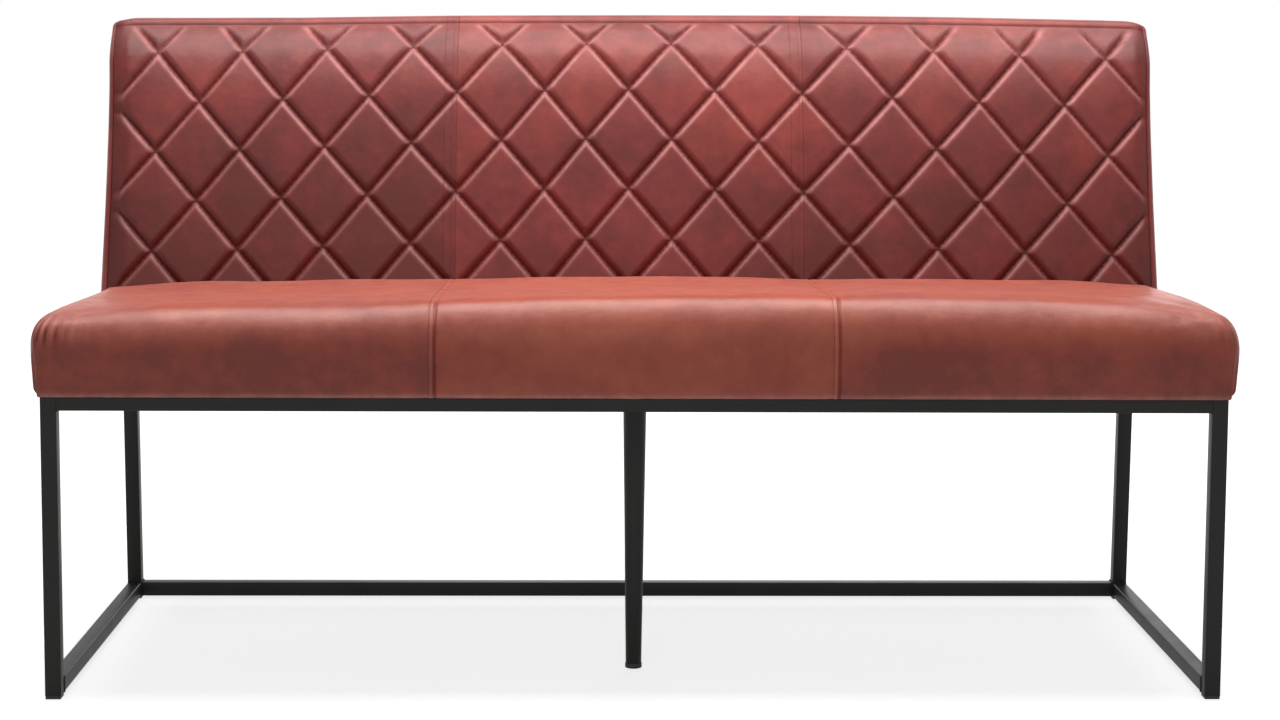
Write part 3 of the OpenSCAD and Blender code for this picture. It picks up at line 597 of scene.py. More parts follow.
# %% [markdown]
# Columns stand close together at the corners and at the two panel seams, where the leather
# turns most, and about 4 mm apart elsewhere. The simulation uses a grid of about 8 mm.

# %% Seat grid
def spread(low, high, step):
    """Evenly spaced values from low to just below high."""
    n = max(1, round((high - low) / step))
    return low + (high - low) * np.arange(n) / n


def columns(step, fine, near):
    """Column places over the seat: corner steps, plain steps, and the places beside each seam."""
    xs = [spread(seat_x0, seat_x0 + CORNER, fine)]
    here = seat_x0 + CORNER
    for centre in (-seam_at, seam_at):
        xs += [spread(here, centre + near[0], step), centre + np.array(near[:-1])]
        here = centre + near[-1]
    xs += [spread(here, seat_x1 - CORNER, step), spread(seat_x1 - CORNER, seat_x1, fine), [seat_x1]]
    return np.concatenate(xs)


def rows(step, fine):
    """Row places from the front crest to the rear of the top."""
    start = seat_y0 + CORNER
    return np.concatenate([spread(seat_y0, start, fine), spread(start, seat_y1, step), [seat_y1]])


SEAM_STEPS = (-24, -19, -15, -12, -10, -8.8, -8.1, -7.5, -6.9, -6.2, -5.2, -4.2, -3.3, -2.5, -1.8, -1.2, -0.6,
              0, 0.6, 1.2, 1.8, 2.6, 3.6, 5, 7, 10, 14, 19)
light_x, light_y = columns(8.0, 2.5, (-12, -6, 0, 6, 12)), rows(8.5, 2.5)
fine_x, fine_y = columns(4.2, 1.1, SEAM_STEPS), rows(4.2, 1.1)
light_roll, fine_roll = np.linspace(0, 1, 8)[1:], np.linspace(0, 1, 17)[1:]
light_wall = np.array([1, 2, 3, 4, 5, 6.5, 8, 10, 12, 14, 15, 16, 17])
fine_wall = np.concatenate([np.arange(0.5, 13.1, 0.5), [13.5, 14, 15, 15.5, 16, 17]])
light_top, light_rings = seat_shell(light_x, light_y, light_roll, light_wall)
fine_top, fine_rings = seat_shell(fine_x, fine_y, fine_roll, fine_wall)
print("light grid", light_top.shape[:2], light_rings.shape[:2], "fine grid", fine_top.shape[:2], fine_rings.shape[:2])

# %% [markdown]
# The light sheet starts a few millimetres lower in the middle of each panel than the finished
# cushion. It is pinned at the seams, at the ends, at the rim and along the rear, and the
# pressure fills it again.

# %% Seat padding
PRESSED = 4.5


def panel_share(x):
    """0 at the ends and seams of the seat, 1 in the middle of each panel."""
    t = (np.abs(x) < seam_at) * (x + seam_at) / (2 * seam_at)
    t = np.where(x <= -seam_at, (x + seat_half) / (seat_half - seam_at), t)
    t = np.where(x >= seam_at, (seat_half - x) / (seat_half - seam_at), t)
    return np.sin(np.pi * np.clip(t, 0, 1)) ** 0.6


def flat_start(top, rings):
    """All points of a seat, pressed in a little between the seams, on the top and the front."""
    spots = np.concatenate([top.reshape(-1, 3), rings.reshape(-1, 3)])
    x, y, z = spots.T.copy()
    on_top = smooth((y - 12) / 70) * smooth((seat_y1 - 4 - y) / 60) * smooth((seat_half - np.abs(x)) / 130) * (z > 440)
    on_front = smooth((z - 386) / 30) * smooth((474 - z) / 40) * (y < 5)
    spots[:, 2] -= PRESSED * panel_share(x) * on_top
    spots[:, 1] += 0.6 * PRESSED * panel_share(x) * on_front
    return spots


light_points = flat_start(light_top, light_rings)
light_faces = seat_faces(light_top, light_rings)
pins = np.zeros(len(light_points))
on_seam = np.min(np.abs(light_points[:, :1] - [[-seam_at, seam_at]]), axis=1) < 1
pins[on_seam] = 0.9
pins[light_points[:, 2] < 386] = 1.0
pins[(light_points[:, 1] > seat_y1 - 4) & (light_points[:, 2] < SEAT_EDGE + 30)] = 1.0
pins[(np.abs(light_points[:, 0]) > seat_half - 14) & (light_points[:, 2] < SEAT_EDGE)] = 1.0
moved = billow(light_points, light_faces, pins, cap=7.0, backing=0.1)

count = light_top[..., 0].size
top_count = fine_top[..., 0].size
moved_top = moved[:count].reshape(light_top.shape)
moved_rings = moved[count:].reshape(light_rings.shape)
at_x = np.interp(fine_x, light_x, np.arange(len(light_x)))
at_y = np.interp(fine_y, light_y, np.arange(len(light_y)))
fine_moved_top = along_curve(along_curve(moved_top, at_y, 0), at_x, 1)
lu, lv = len(light_x) - 1, len(light_y) - 1
round_at = np.concatenate([at_x[:-1], lu + at_y[:-1], lu + lv + (lu - at_x[:0:-1]), 2 * lu + lv + (lv - at_y[:0:-1])])
edge_row = np.concatenate([moved_top[0, :-1], moved_top[:-1, -1], moved_top[-1, :0:-1], moved_top[:0:-1, 0]])
stack = np.concatenate([edge_row[None], moved_rings])
looped = np.concatenate([stack, stack[:, :2]], axis=1)
light_t = np.concatenate([[0], light_roll, light_wall + 1])
fine_t = np.concatenate([fine_roll, fine_wall + 1])
ring_at = np.interp(fine_t, light_t, np.arange(len(light_t)))
fine_moved_rings = along_curve(along_curve(looped, ring_at, 0), round_at, 1)
whole = flat_start(fine_top, fine_rings) + np.concatenate(
    [fine_moved_top.reshape(-1, 3), fine_moved_rings.reshape(-1, 3)])
seat = build("seat_cushion", whole, seat_faces(fine_top, fine_rings))
print("seat points", len(whole), "highest", round(float(whole[:, 2].max()), 1))

# %% [markdown]
# Sewing comes after the padding. Each panel seam is a narrow joint in a soft valley, with the
# seam allowance turned to the left and held by one row of topstitching 7.5 mm away. It is
# pulled tight over the front and eases off on the top. At the front corners the leather is
# gathered round above a short upright seam, tighter on the left, as handwork is.

# %% Seat seams and gathers
def seam_section(d):
    """Height across a topstitched seam, with d in millimetres to the right of the seam."""
    valley = -1.3 * bell(d, 16.0)
    raised = 0.75 * smooth((d + 7.6) / 2.4) * smooth((-d - 0.4) / 3.0)
    needle = -0.3 * bell(d + TOPSTITCH, 0.7)
    joint = -1.9 * bell(d, 2.0)
    pillow = 0.6 * smooth(d / 4.0) * smooth((14 - d) / 9)
    return valley + raised + needle + joint + pillow


points, normals = points_of(seat), points_of(seat, "normal")
from_seam = right_of_seam(points[:, 0])
shown = smooth((points[:, 2] - 379.5) / 6)
tight = 1 - 0.7 * smooth((points[:, 1] - 25) / 90)
height = np.where(np.abs(from_seam) < 45, seam_section(from_seam), 0) * (0.35 + 0.65 * shown) * tight

ring_count = fine_rings.shape[1]
wall_points = points[top_count:].reshape(-1, ring_count, 3)
widest = wall_points[len(fine_roll) + 1]
step_length = np.linalg.norm(np.diff(widest, axis=0, append=widest[:1]), axis=1)
length_at = np.concatenate([[0], np.cumsum(step_length)[:-1]])
whole_length = step_length.sum()
corner_left = length_at[np.argmin(widest[:, 0] + widest[:, 1])]
corner_right = length_at[np.argmin(-widest[:, 0] + widest[:, 1])]
from_left = (length_at - corner_left + whole_length / 2) % whole_length - whole_length / 2
from_right = (corner_right - length_at + whole_length / 2) % whole_length - whole_length / 2
rising = wall_points[..., 2]
band = bell(rising - 459, 13.0)


def gathers(along, strength, wave):
    """Folds that fade out along the front; along is from the corner, in millimetres."""
    swing = np.cos(2 * np.pi * (along / wave + 0.18 * np.sin(along / 9.0)))
    return strength * swing * smooth((along + 12) / 18) * np.exp(-np.maximum(0, along - 18) ** 2 / (2 * 24.0 ** 2))


folds = band * (gathers(from_left, 2.2, 11.5) + gathers(from_right, 0.5, 13.0))
wall_height = folds.copy()
low = smooth((440 - rising) / 22) * smooth((rising - 379) / 4)
for along in (from_left, from_right):
    wall_height += low * (0.9 * bell(np.abs(along) - 4.5, 2.6) - 1.6 * bell(along, 1.3))
tuck = bell(wall_points[..., 0] + 6, 11.0) - 0.8 * bell(wall_points[..., 0] - 9, 8.0)
wall_height += 1.3 * tuck * bell(rising - 389, 7.0) * (wall_points[..., 1] < 30)
height[top_count:] += wall_height.ravel()
slow = np.sin(points[:, 0] / 61.0 + 1.7 * np.sin(points[:, 2] / 23.0)) * np.sin(points[:, 0] / 37.0 + 1.0)
height += 0.5 * slow * shown
move_to(seat, points + normals * height[:, None])

points = points_of(seat)
on_top = np.arange(len(points)) < top_count
# Each panel keeps its own tone; below the crest the wall gets painted shade, darker on the outer panels
below_crest_shade = smooth((470 - points[:, 2]) / 40) * ~on_top
panel = by_panel(points[:, 0], 0.25, 0.75, 0.45) - np.where(np.abs(points[:, 0]) > seam_at, 1.25, 0.6) * below_crest_shade
crease_and_shade = tight * (0.28 * bell(from_seam, 1.8) + 0.12 * bell(from_seam + TOPSTITCH, 0.8))
# Painted shade in the valleys of the corner gathers and in the groove just above the rim; the seam joints and stitch
# holes before it are dark of themselves
crease_and_shade[top_count:] += np.clip(-0.32 * folds, 0, 0.6).ravel()
crease_and_shade += 0.2 * bell(points[:, 2] - 385.6, 0.8) * ~on_top
# Painted highlights: a pale strip on the raised seam allowance, a pale line along the rim and a pale band on the front
# roll. The top pales where it is sat on, and this also paints its sheen.
ridge_highlight = 0.3 * tight * smooth((from_seam + 7) / 1.5) * smooth((-from_seam - 0.6) / 1.5)
sat_on_and_sheen = 0.42 * on_top * smooth((points[:, 1] - 30) / 40)
seat_pale_and_highlight = ridge_highlight + 1.2 * bell(points[:, 2] - 383.1, 2.6) * ~on_top + sat_on_and_sheen
seat_pale_and_highlight[top_count:] += 0.5 * bell(rising[0] - rising - 17, 11.0).ravel()
note(seat, panel, np.clip(seat_pale_and_highlight, 0, 1), np.clip(crease_and_shade, 0, 1))
dress(seat, seat_leather, ["seat_cover"])
print("seat box", points.min(0).round(1), points.max(0).round(1))

# %% [markdown]
# ## Quilted back
# The front of the back is three panels of leather quilted over wadding, then drawn over the
# foam. The machine sews two sets of slanting lines, so puffed pads stand between sharp narrow
# channels. A plain bump texture would not cast the dark line above each bright edge, so the
# pads are real, and painted shade deepens that line. The grid has 24 steps for half a diamond
# both ways, which puts every channel on a diagonal of the grid: the cells there are cut along
# that diagonal and stay sharp.
#
# s is measured up the face from the frame's top, and carries on over the rolled top edge.

# %% Back shape
plain_top = back_top - TOP_CROWN
sin_l, cos_l = math.sin(LEAN), math.cos(LEAN)

# Lean of the face in degrees, by the distance down from its top end: the roll, the 16 mm boxing strip
# with a hollow at its seam, the soft slope of the padding, and the straight part
PROFILE = ((0, 6, 11, 16, 24, 60, 80, 120, 230), (90, 62, 41, 34, 45, 43, 27, 19, 12))
down = np.arange(0, 560, 0.25)
lean_down = np.radians(np.interp(down, *PROFILE))
between = (lean_down[1:] + lean_down[:-1]) / 2
fallen = np.concatenate([[0], np.cumsum(np.cos(between)) * 0.25])
forward = np.concatenate([[0], np.cumsum(np.sin(between)) * 0.25])
end_s = float(np.interp(plain_top - frame_top, fallen, down))
line_s, line_lean, line_z = (end_s - down)[::-1], lean_down[::-1], (plain_top - fallen)[::-1]
line_y = (BACK_FOOT + np.interp(end_s, down, forward) - forward)[::-1]
cross_s = end_s - QUILT_DROP
STRIP = 16.0
seam_s = end_s - STRIP
HALF_STEPS = 24
step_x, step_s = pitch / 2 / HALF_STEPS, DIAMOND_H / 2 / HALF_STEPS
line_gap = 1 / math.hypot(2 / pitch, 2 / DIAMOND_H)


# The upholsterer has pulled the cover in a little at the top corners and padded the top edge
TOP_LIFT = ((-749, -600, -477, -259, 16, 248, 465, 683, 749), (0.0, -0.4, -0.4, 2.6, 4.2, 5.4, 5.4, 3.9, 2.8))


def drawn_in(x, z):
    """The sides of the back, drawn in towards the top and padded out a little at its corners."""
    pull = 5.0 * smooth((z - frame_top) / 300) - 3.5 * smooth((z - 745) / 90)
    return x - np.sign(x) * pull * smooth((np.abs(x) - 450) / 300)


def lifted(x, up):
    """Rise of the crowned top edge; up is 0 at the foot and 1 at the top."""
    return TOP_CROWN * (1 - (x / back_half) ** 2) * up + np.interp(x, *TOP_LIFT) * up ** 6


def face_point(x, s, h):
    """A point s up the face and h out from it, over the roll at the top edge."""
    a = np.interp(s, line_s, line_lean)
    fuller = 16 * smooth((s - end_s + 190) / 165) * smooth((np.abs(x) - back_half + 100) / 95)
    y = np.interp(s, line_s, line_y) - h * np.cos(a) - fuller
    z = np.interp(s, line_s, line_z) + h * np.sin(a)
    up = np.clip(s / end_s, 0, 1)
    return np.stack([drawn_in(x, z), y, z + lifted(x, up)], -1)


print("face", round(end_s, 1), "mm long from the frame to the end of the roll")

# %% [markdown]
# The pads are heights over that face. Each line of stitches holds the cover down, and a pad
# rises from it on both sides. The rows sag a little towards the ends of the bench.

# %% Quilting
def shoulder(d, width):
    """Rise of a pad from its channel: an even slope beside the line that rounds off to a flat top."""
    t = np.clip(d / width, 0, 1)
    return t * (1.5 - 0.5 * t * t)


def seam_inset(s):
    """How far in from the back's edge the border seam runs."""
    return 11.5 - 4.5 * np.clip(s / end_s, 0, 1)


def line_places(x, s):
    """A place counted in half diamonds both ways, and where it lies between the lines of each set."""
    u, v = x / (pitch / 2), (s - cross_s) / (DIAMOND_H / 2)
    one, two = (u + v - 1) / 2, (u - v - 1) / 2
    return u, v, one - np.round(one), two - np.round(two)


def quilting(x, s):
    """Height of the pads, the distance to the nearest channel, and the place along it."""
    u, v, one, two = line_places(x, s)
    wide_one, wide_two = np.where(one < 0, 8.5, 10.5), np.where(two > 0, 8.5, 10.5)
    one, two = np.abs(one) * 2, np.abs(two) * 2
    d1, d2 = one * line_gap, two * line_gap
    pads = 0.72 * shoulder(d1, wide_one) * shoulder(d2, wide_two) + 0.28 * (one * two) ** 0.6
    kept = smooth((seam_s + 1 - s) / 9)
    pads = kept * pads + (1 - kept) * 0.84
    side = back_half - seam_inset(s) - np.abs(x)
    strip = 0.32 + 0.22 * np.sin(np.pi * np.clip((s - seam_s) / STRIP, 0, 1)) + 0.68 * shoulder(seam_s - s, 24.0)
    fade = shoulder(side, 20.0) * strip * smooth((s - 66) / 30)
    run = np.where(d1 < d2, u - v, u + v) * math.hypot(pitch, DIAMOND_H) / 4
    return PUFF * pads * fade, np.minimum(d1, d2), run


def droop(x, s):
    """The rows sag towards the ends, and come level again at the upper and lower edges."""
    above = np.minimum(1, np.maximum(0, s - cross_s + 71) / (seam_s - cross_s + 71))
    level = above ** (3 + 4 * smooth((x - 350) / 300))
    return QUILT_BOW * smooth(np.abs(x) / back_half) * (1 - level) * smooth(s / 60)


# The hide gives a little as it is quilted, so no two diamonds are quite as wide
GIVE = (8, 8, 6.5, 4.5, 2.5, 1, -0.2, -1.2, 0.4, 1.5, 0.3, -2.9, -5.1, -6.1, -6.8, -7.5, -6.1, -3.5, -2.5, -3, -2.5,
        -3, -2.5, -3, -3)


def give(x):
    """How far the quilting is drawn to the right."""
    return along_curve(np.array(GIVE), x.ravel() / (pitch / 2) + 12).reshape(x.shape)


print("quilting lines", round(2 * line_gap, 1), "mm apart")

# %% [markdown]
# The grid's columns are even over the quilting, then crowd together at the border seam and
# round the side roll. Rows below the seat are hidden, so they are far apart.

# %% Back grid
EDGE_COLUMNS = 283
last_row = int((seam_s - cross_s) / step_s)
first_row = -int((cross_s - 62) / step_s)
quilt_rows = cross_s + step_s * np.arange(first_row, last_row + 1)
seam_rows = seam_s + np.array([-1.3, -0.6, 0, 0.6, 1.4])
row_s = np.concatenate([[0, 12, 25, 38, 50], quilt_rows, seam_rows, spread(seam_s + 3, end_s, 1.9), [end_s]])
row_s = np.unique(np.round(row_s, 4))
inner_x = step_x * np.arange(-EDGE_COLUMNS, EDGE_COLUMNS + 1)
turns = np.linspace(0, 1, 11)[1:]
grid_x = np.empty((len(row_s), len(inner_x) + 2 * (4 + len(turns))))
for r, s in enumerate(row_s):
    beside = back_half - seam_inset(s) + np.array([-1.1, -0.5, 0, 0.6])
    first_angle = math.asin((SIDE_ROLL - seam_inset(s) + 1.4) / SIDE_ROLL)
    angles = first_angle + (math.pi / 2 - first_angle) * turns
    outer = np.concatenate([beside, back_half - SIDE_ROLL * (1 - np.sin(angles))])
    grid_x[r] = np.concatenate([-outer[::-1], inner_x, outer])
over_edge = np.maximum(0, np.abs(grid_x) - back_half + SIDE_ROLL)
fall = SIDE_ROLL - np.sqrt(np.maximum(0, SIDE_ROLL ** 2 - over_edge ** 2))
grid_s = np.repeat(row_s[:, None], grid_x.shape[1], axis=1)
border_x = back_half - seam_inset(grid_s)
pads, nearest, run = quilting(grid_x, grid_s)
print("back grid", grid_x.shape, "highest pad", round(float(pads.max()), 2), "mm")

# %% [markdown]
# The pads go through the cloth simulation too, on every second point of the grid. The sewn
# lines and the border are pinned. The pads start a little flat and fill out, each one
# slightly unlike the next.

# %% Back padding
START_SHARE = 0.86
left_col = 4 + len(turns)
first = int(np.nonzero(np.isclose(row_s, quilt_rows[0], atol=1e-3))[0][0])
shift = (-first_row) % 2
rows_at = np.arange(first + shift, first + len(quilt_rows), 2)
cols_at = np.arange(left_col + (EDGE_COLUMNS % 2), left_col + len(inner_x), 2)
sub_x, sub_s = grid_x[np.ix_(rows_at, cols_at)], grid_s[np.ix_(rows_at, cols_at)]
sub_h, sub_near, _ = quilting(sub_x, sub_s)
wobble = 0.1 * np.sin(sub_x / 23.0 + 3.0 * np.sin(sub_s / 41.0))
flat_h = START_SHARE * sub_h + np.where(sub_near > 4, wobble, 0)
light_back = face_point(sub_x, sub_s - droop(sub_x, sub_s), flat_h)
numbers = np.arange(sub_x.size).reshape(sub_x.shape)
held = (sub_near < 0.6).astype(float)
held[0, :] = held[-1, :] = held[:, 0] = held[:, -1] = 1.0
swollen = billow(light_back.reshape(-1, 3), quads(numbers), held.ravel(), cap=3.5).reshape(light_back.shape)
out_of_face = np.stack([np.zeros_like(sub_x), np.full_like(sub_x, -cos_l), np.full_like(sub_x, sin_l)], -1)
rise = (swollen * out_of_face).sum(-1)
row_to = np.interp(np.arange(len(row_s)), rows_at, np.arange(len(rows_at)))
col_to = np.interp(np.arange(grid_x.shape[1]), cols_at, np.arange(len(cols_at)))
fine_rise = along_curve(along_curve(rise, row_to, 0), col_to, 1)
share = START_SHARE
cover_h = share * pads + fine_rise * smooth(nearest / 3.0) * (pads > 0.05)
print("pads filled by", round(float(rise.mean()), 2), "mm on average, at most", round(float(rise.max()), 2))

# %% [markdown]
# From the edge of the front sheet the side and top borders run straight back to the rear
# edge, turn round it on a small roll, and stop at the rear panel's seam.

# %% Back cover
seam_side = np.abs(np.abs(grid_x) - border_x)
inside_top = np.abs(grid_x) < border_x + 1
on_border = np.abs(grid_x) > border_x
groove = -1.5 * bell(seam_side, 1.0) - 0.35 * bell(np.abs(grid_s - seam_s), 1.5) * inside_top
puffed = 0.9 * on_border * smooth(seam_side / 5)
sheet_h = cover_h + groove + puffed - fall
given = np.where(np.abs(grid_x) < back_half - 12.8, give(grid_x), 0)
sheet = face_point(grid_x + given, grid_s - droop(grid_x, grid_s), sheet_h)
sheet[0, :, 2] = frame_top

numbers = np.arange(grid_x.size).reshape(grid_x.shape)
path = np.concatenate([numbers[:, 0], numbers[-1, 1:-1], numbers[::-1, -1]])
edge = sheet.reshape(-1, 3)[path]
edge_x, edge_z = edge[:, 0], edge[:, 2]
out_x = np.sign(edge_x) * smooth((np.abs(edge_x) - back_half + 9) / 7)
out_z = np.clip(smooth((edge_z - plain_top + 9) / 7), 0, 1)
size = np.maximum(np.hypot(out_x, out_z), 1e-6)
out_x, out_z = out_x / size, out_z / size
REAR_ROLL, REAR_LIP = 5.0, 12.0
back_line = rear_y(np.minimum(edge_z, plain_top))
strips = []
for t in np.linspace(0, 1, 15)[1:]:
    swell = 1.2 * math.sin(math.pi * t)
    y = edge[:, 1] + (back_line - REAR_ROLL - edge[:, 1]) * t
    strips.append(np.stack([edge_x + out_x * swell, y, edge_z + out_z * swell], -1))
for a in np.linspace(0, math.pi / 2, 6)[1:]:
    inward = REAR_ROLL * (1 - math.cos(a))
    strips.append(np.stack([edge_x - out_x * inward, back_line - REAR_ROLL * (1 - math.sin(a)),
                            edge_z - out_z * inward], -1))
for inward, sink in ((8, 0), (10, 0.3), (11.3, 1.2), (12, 3.2), (12, 7)):
    strips.append(np.stack([edge_x - out_x * inward, back_line - sink, edge_z - out_z * inward], -1))
strips = np.array(strips)
band_numbers = grid_x.size + np.arange(strips.shape[0] * len(path)).reshape(strips.shape[0], -1)
band_numbers = np.concatenate([path[None], band_numbers])
print("border strip", strips.shape[:2])

# %% [markdown]
# Cells beside a channel are cut along the channel's own diagonal. Everywhere else the cut
# does not show.

# %% Back mesh
cell_x, cell_s = (grid_x[:-1, :-1] + grid_x[:-1, 1:]) / 2, (grid_s[:-1, :-1] + grid_s[1:, :-1]) / 2
one, two = line_places(cell_x, cell_s)[2:]
falling = np.abs(one) < np.abs(two)
a, b, c, d = numbers[:-1, :-1], numbers[:-1, 1:], numbers[1:, 1:], numbers[1:, :-1]
first_half = np.where(falling[..., None], np.stack([a, b, d], -1), np.stack([a, b, c], -1))
second_half = np.where(falling[..., None], np.stack([b, c, d], -1), np.stack([a, c, d], -1))
sheet_faces = np.concatenate([first_half.reshape(-1, 3), second_half.reshape(-1, 3)])
band_faces = quads(band_numbers)
everything = np.concatenate([sheet.reshape(-1, 3), strips.reshape(-1, 3)])
back = build("back_quilting", everything, sheet_faces.tolist() + band_faces[:, ::-1].tolist())
one, two = line_places(grid_x, grid_s)[2:]
under = np.where(np.abs(one) < np.abs(two), one < 0, two > 0)
# Each panel keeps its own tone; painted shade darkens the quilting towards the foot of the back and over its top rows,
# and the boxing strip is lightened again
panel = by_panel(grid_x, 0.15, 0.85, 0.45) - 2.0 * (1 - grid_s / end_s)
panel += 0.5 * smooth((grid_s - seam_s) / 4) - 0.6 * smooth((grid_s - seam_s + 60) / 40)
line_fade = smooth((seam_s - grid_s) / 8) * smooth((border_x - np.abs(grid_x)) / 9)
# Painted shade in each channel and in a band on its upper side, where the pad above turns down; the seams are dark
# joints; then painted shade along the very top edge
crease_and_shade = (0.45 * bell(nearest, 1.8) + 0.4 * bell(nearest, 5.0) * ~under) * line_fade
crease_and_shade += 0.8 * bell(np.minimum(seam_side, 90), 0.9)
crease_and_shade += (0.04 * bell(grid_s - seam_s, 1.5) + 0.5 * smooth((grid_s - end_s + 5) / 4)) * inside_top
# Painted highlight on the upper edge of each pad, just below its channel, weaker towards the foot, and a faint one
# over the top roll
ridge_highlight = bell(nearest - 5.0, 3.6) * line_fade * np.where(under, 1.0, 0.15) * (0.5 + 0.5 * smooth((grid_s - 90) / 230))
ridge_highlight += 0.06 * bell(grid_s - seam_s + 12, 14.0) * ~on_border
beside = right_of_seam(grid_x)
beside = np.where((np.abs(beside) < SEAM_REACH) & ~on_border, beside, SEAM_REACH)


def and_strips(values, rest):
    """Values for the sheet's points, and one value for every point of the border's strips."""
    return np.append(values, np.full(strips[..., 0].size, rest))


note(back, tone_and_shade=and_strips(np.where(on_border, 0.9, panel), 0.7), wear_and_highlight=and_strips(np.clip(ridge_highlight, 0, 1), 0.1),
     crease_and_shade=and_strips(np.clip(crease_and_shade, 0, 1), 0.0), seam=and_strips(beside, SEAM_REACH),
     along=and_strips(run * (np.abs(grid_x) < back_half), 0.0),
     near=and_strips(np.exp(-(nearest / 5.0)) * line_fade, 0.0))
dress(back, back_leather, ["back_quilted_cover"])
print("back points", len(everything), "box", everything.min(0).round(1), everything.max(0).round(1))

# %% [markdown]
# ## Rear panel
# The rear of the back is one plain cover of three panels, pulled over thin felt and tucked
# under the border's rolled edge. Between its two seams it stands out by little more than a
# millimetre.

# %% Rear panel
panel_half = back_half - REAR_LIP + 0.3
panel_x = np.unique(np.round(np.concatenate([np.linspace(-panel_half, panel_half, 181), *(
    c + np.array(SEAM_STEPS) for c in (-seam_at, seam_at))]), 3))
panel_z = np.linspace(frame_top + 1.5, plain_top - REAR_LIP + 0.3, 74)
px, pz = np.meshgrid(panel_x, panel_z)
beside = right_of_seam(px)
to_edge = np.minimum(panel_half - np.abs(px), np.minimum(pz - panel_z[0] + 4, panel_z[-1] - pz))
puffed_rear = 1.4 * panel_share(px * seat_half / back_half) * smooth(to_edge / 40) - 0.6
sewn_rear = np.where(np.abs(beside) < 45, 0.7 * seam_section(beside), 0)
tucked = -2.2 * (1 - np.sqrt(np.clip(1 - np.clip(1 - to_edge / 5, 0, 1) ** 2, 0, 1)))
drag = 0.25 * np.sin(px / 19 + 2 * np.sin(pz / 60)) * np.exp(-to_edge / 14)
raised = pz + lifted(px, (pz - panel_z[0]) / (panel_z[-1] - panel_z[0]))
panel_points = np.stack([drawn_in(px, pz), rear_y(pz) + puffed_rear + sewn_rear + tucked + drag, raised], -1)
numbers = np.arange(px.size).reshape(px.shape)
rear_panel = build("rear_leather_panel", panel_points.reshape(-1, 3), quads(numbers)[:, ::-1])
wall = rear_panel.modifiers.new("leather thickness", "SOLIDIFY")
wall.thickness, wall.offset = 1.4 * MM, -1
# Dark seam joints and stitch holes, and painted shade where the edges tuck under the border's roll
dark = 0.45 * bell(beside, 1.6) + 0.2 * bell(beside + TOPSTITCH, 0.8) + 0.5 * np.exp(-to_edge / 2.0)
note(rear_panel, by_panel(px, 0.4, 0.7, 0.2), 0.25 * np.exp(-to_edge / 6), np.clip(dark, 0, 1))
dress(rear_panel, back_leather, ["back_rear_panel"])

# %% [markdown]
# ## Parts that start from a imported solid
# Steel tube is drawn through a die, so its long edges are round, with a radius of about
# 1.6 mm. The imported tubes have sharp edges. A copy of each one has its split points joined
# and its flat faces made whole, and then only its long outer edges are bevelled. The ends
# stay square, because they butt against the next tube.

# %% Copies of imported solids
def copy_of(node):
    """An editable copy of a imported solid, with joined points and whole flat faces."""
    work = bmesh.new()
    work.from_mesh(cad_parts[node].data)
    bmesh.ops.remove_doubles(work, verts=work.verts, dist=1e-5)
    bmesh.ops.dissolve_limit(work, angle_limit=math.radians(0.5), verts=work.verts, edges=work.edges)
    return work


def placed(work, name, sharp=35):
    """A plain mesh object from an edited copy, smooth except at its sharp edges."""
    work.verts.index_update()
    mesh = bpy.data.meshes.new(name)
    mesh.from_pydata([v.co[:] for v in work.verts], [], [[v.index for v in f.verts] for f in work.faces])
    work.free()
    mesh.shade_smooth()
    mesh.set_sharp_from_angle(angle=math.radians(sharp))
    obj = bpy.data.objects.new(name, mesh)
    scene.collection.objects.link(obj)
    return obj


def rounded(work, width, shortest, steps=3):
    """Bevels the outer edges that are longer than the shortest one given, all in millimetres."""
    edges = [e for e in work.edges if len(e.link_faces) == 2 and e.is_convex
             and e.calc_length() > shortest * MM and e.calc_face_angle() > math.radians(50)]
    bmesh.ops.bevel(work, geom=edges, offset=width * MM, segments=steps, profile=0.5, affect="EDGES",
                    clamp_overlap=True)
    return work


TUBES = ("front_leg_left", "front_leg_right", "rear_leg_left", "rear_leg_right", "floor_runner_left",
         "floor_runner_right", "side_top_rail_left", "side_top_rail_right", "front_top_rail", "rear_top_rail",
         "rear_floor_stretcher", "centre_cross_rail")
for node in TUBES:
    dress(placed(rounded(copy_of(node), 1.6, 60), node.replace("_", "-") + "-tube"), steel_black, [node])
dress(placed(copy_of("middle_leg"), "tapered_middle_leg", 50), steel_black, ["middle_leg"])
for node, name, width, shortest, material, slot in (
        ("middle_leg_plate", "middle_leg_mount", 0.6, 2, steel_black, "base_steel"),
        ("floor_glides", "moulded_glides", 0.8, 2, nylon_black, "glide"),
        ("middle_leg_foot_cap", "moulded_foot_cap", 0.9, 0.1, nylon_black, "glide")):
    dress(placed(rounded(copy_of(node), width, shortest, 2), name), material, [node])
print("tubes rounded:", len(TUBES))

# %% [markdown]
# Solids whose shape is already right keep their mesh and only get a finish: the sawn rails
# and uprights, the plywood board, the pressed tabs, the plated straps and the screws.

# %% Finishes for the solids that stay
FINISHES = {"timber": beech, "board": plywood, "zinc": zinc_bright, "base_steel": steel_black, "glide": nylon_black}
for name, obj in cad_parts.items():
    for spot in obj.material_slots:
        if spot.material and spot.material.name in FINISHES:
            spot.material = FINISHES[spot.material.name]
finished = [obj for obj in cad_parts.values() if obj.material_slots[0].material in FINISHES.values()]
print("finished solids:", len(finished))

# %% [markdown]
# ## Foam, webbing and lining
# The foam blocks are cut with a hot wire and rounded at their edges. The webbing sags a
# little between the rails under the foam. The lining below is a light felt, stapled every
# 40 mm to the rails from underneath, so it puckers between the staples and hangs free in the
# open bays. Each starts from its imported solid; the webbing and the lining are cut into a
# grid and then moved by a small rule, so their screw holes stay where they are.

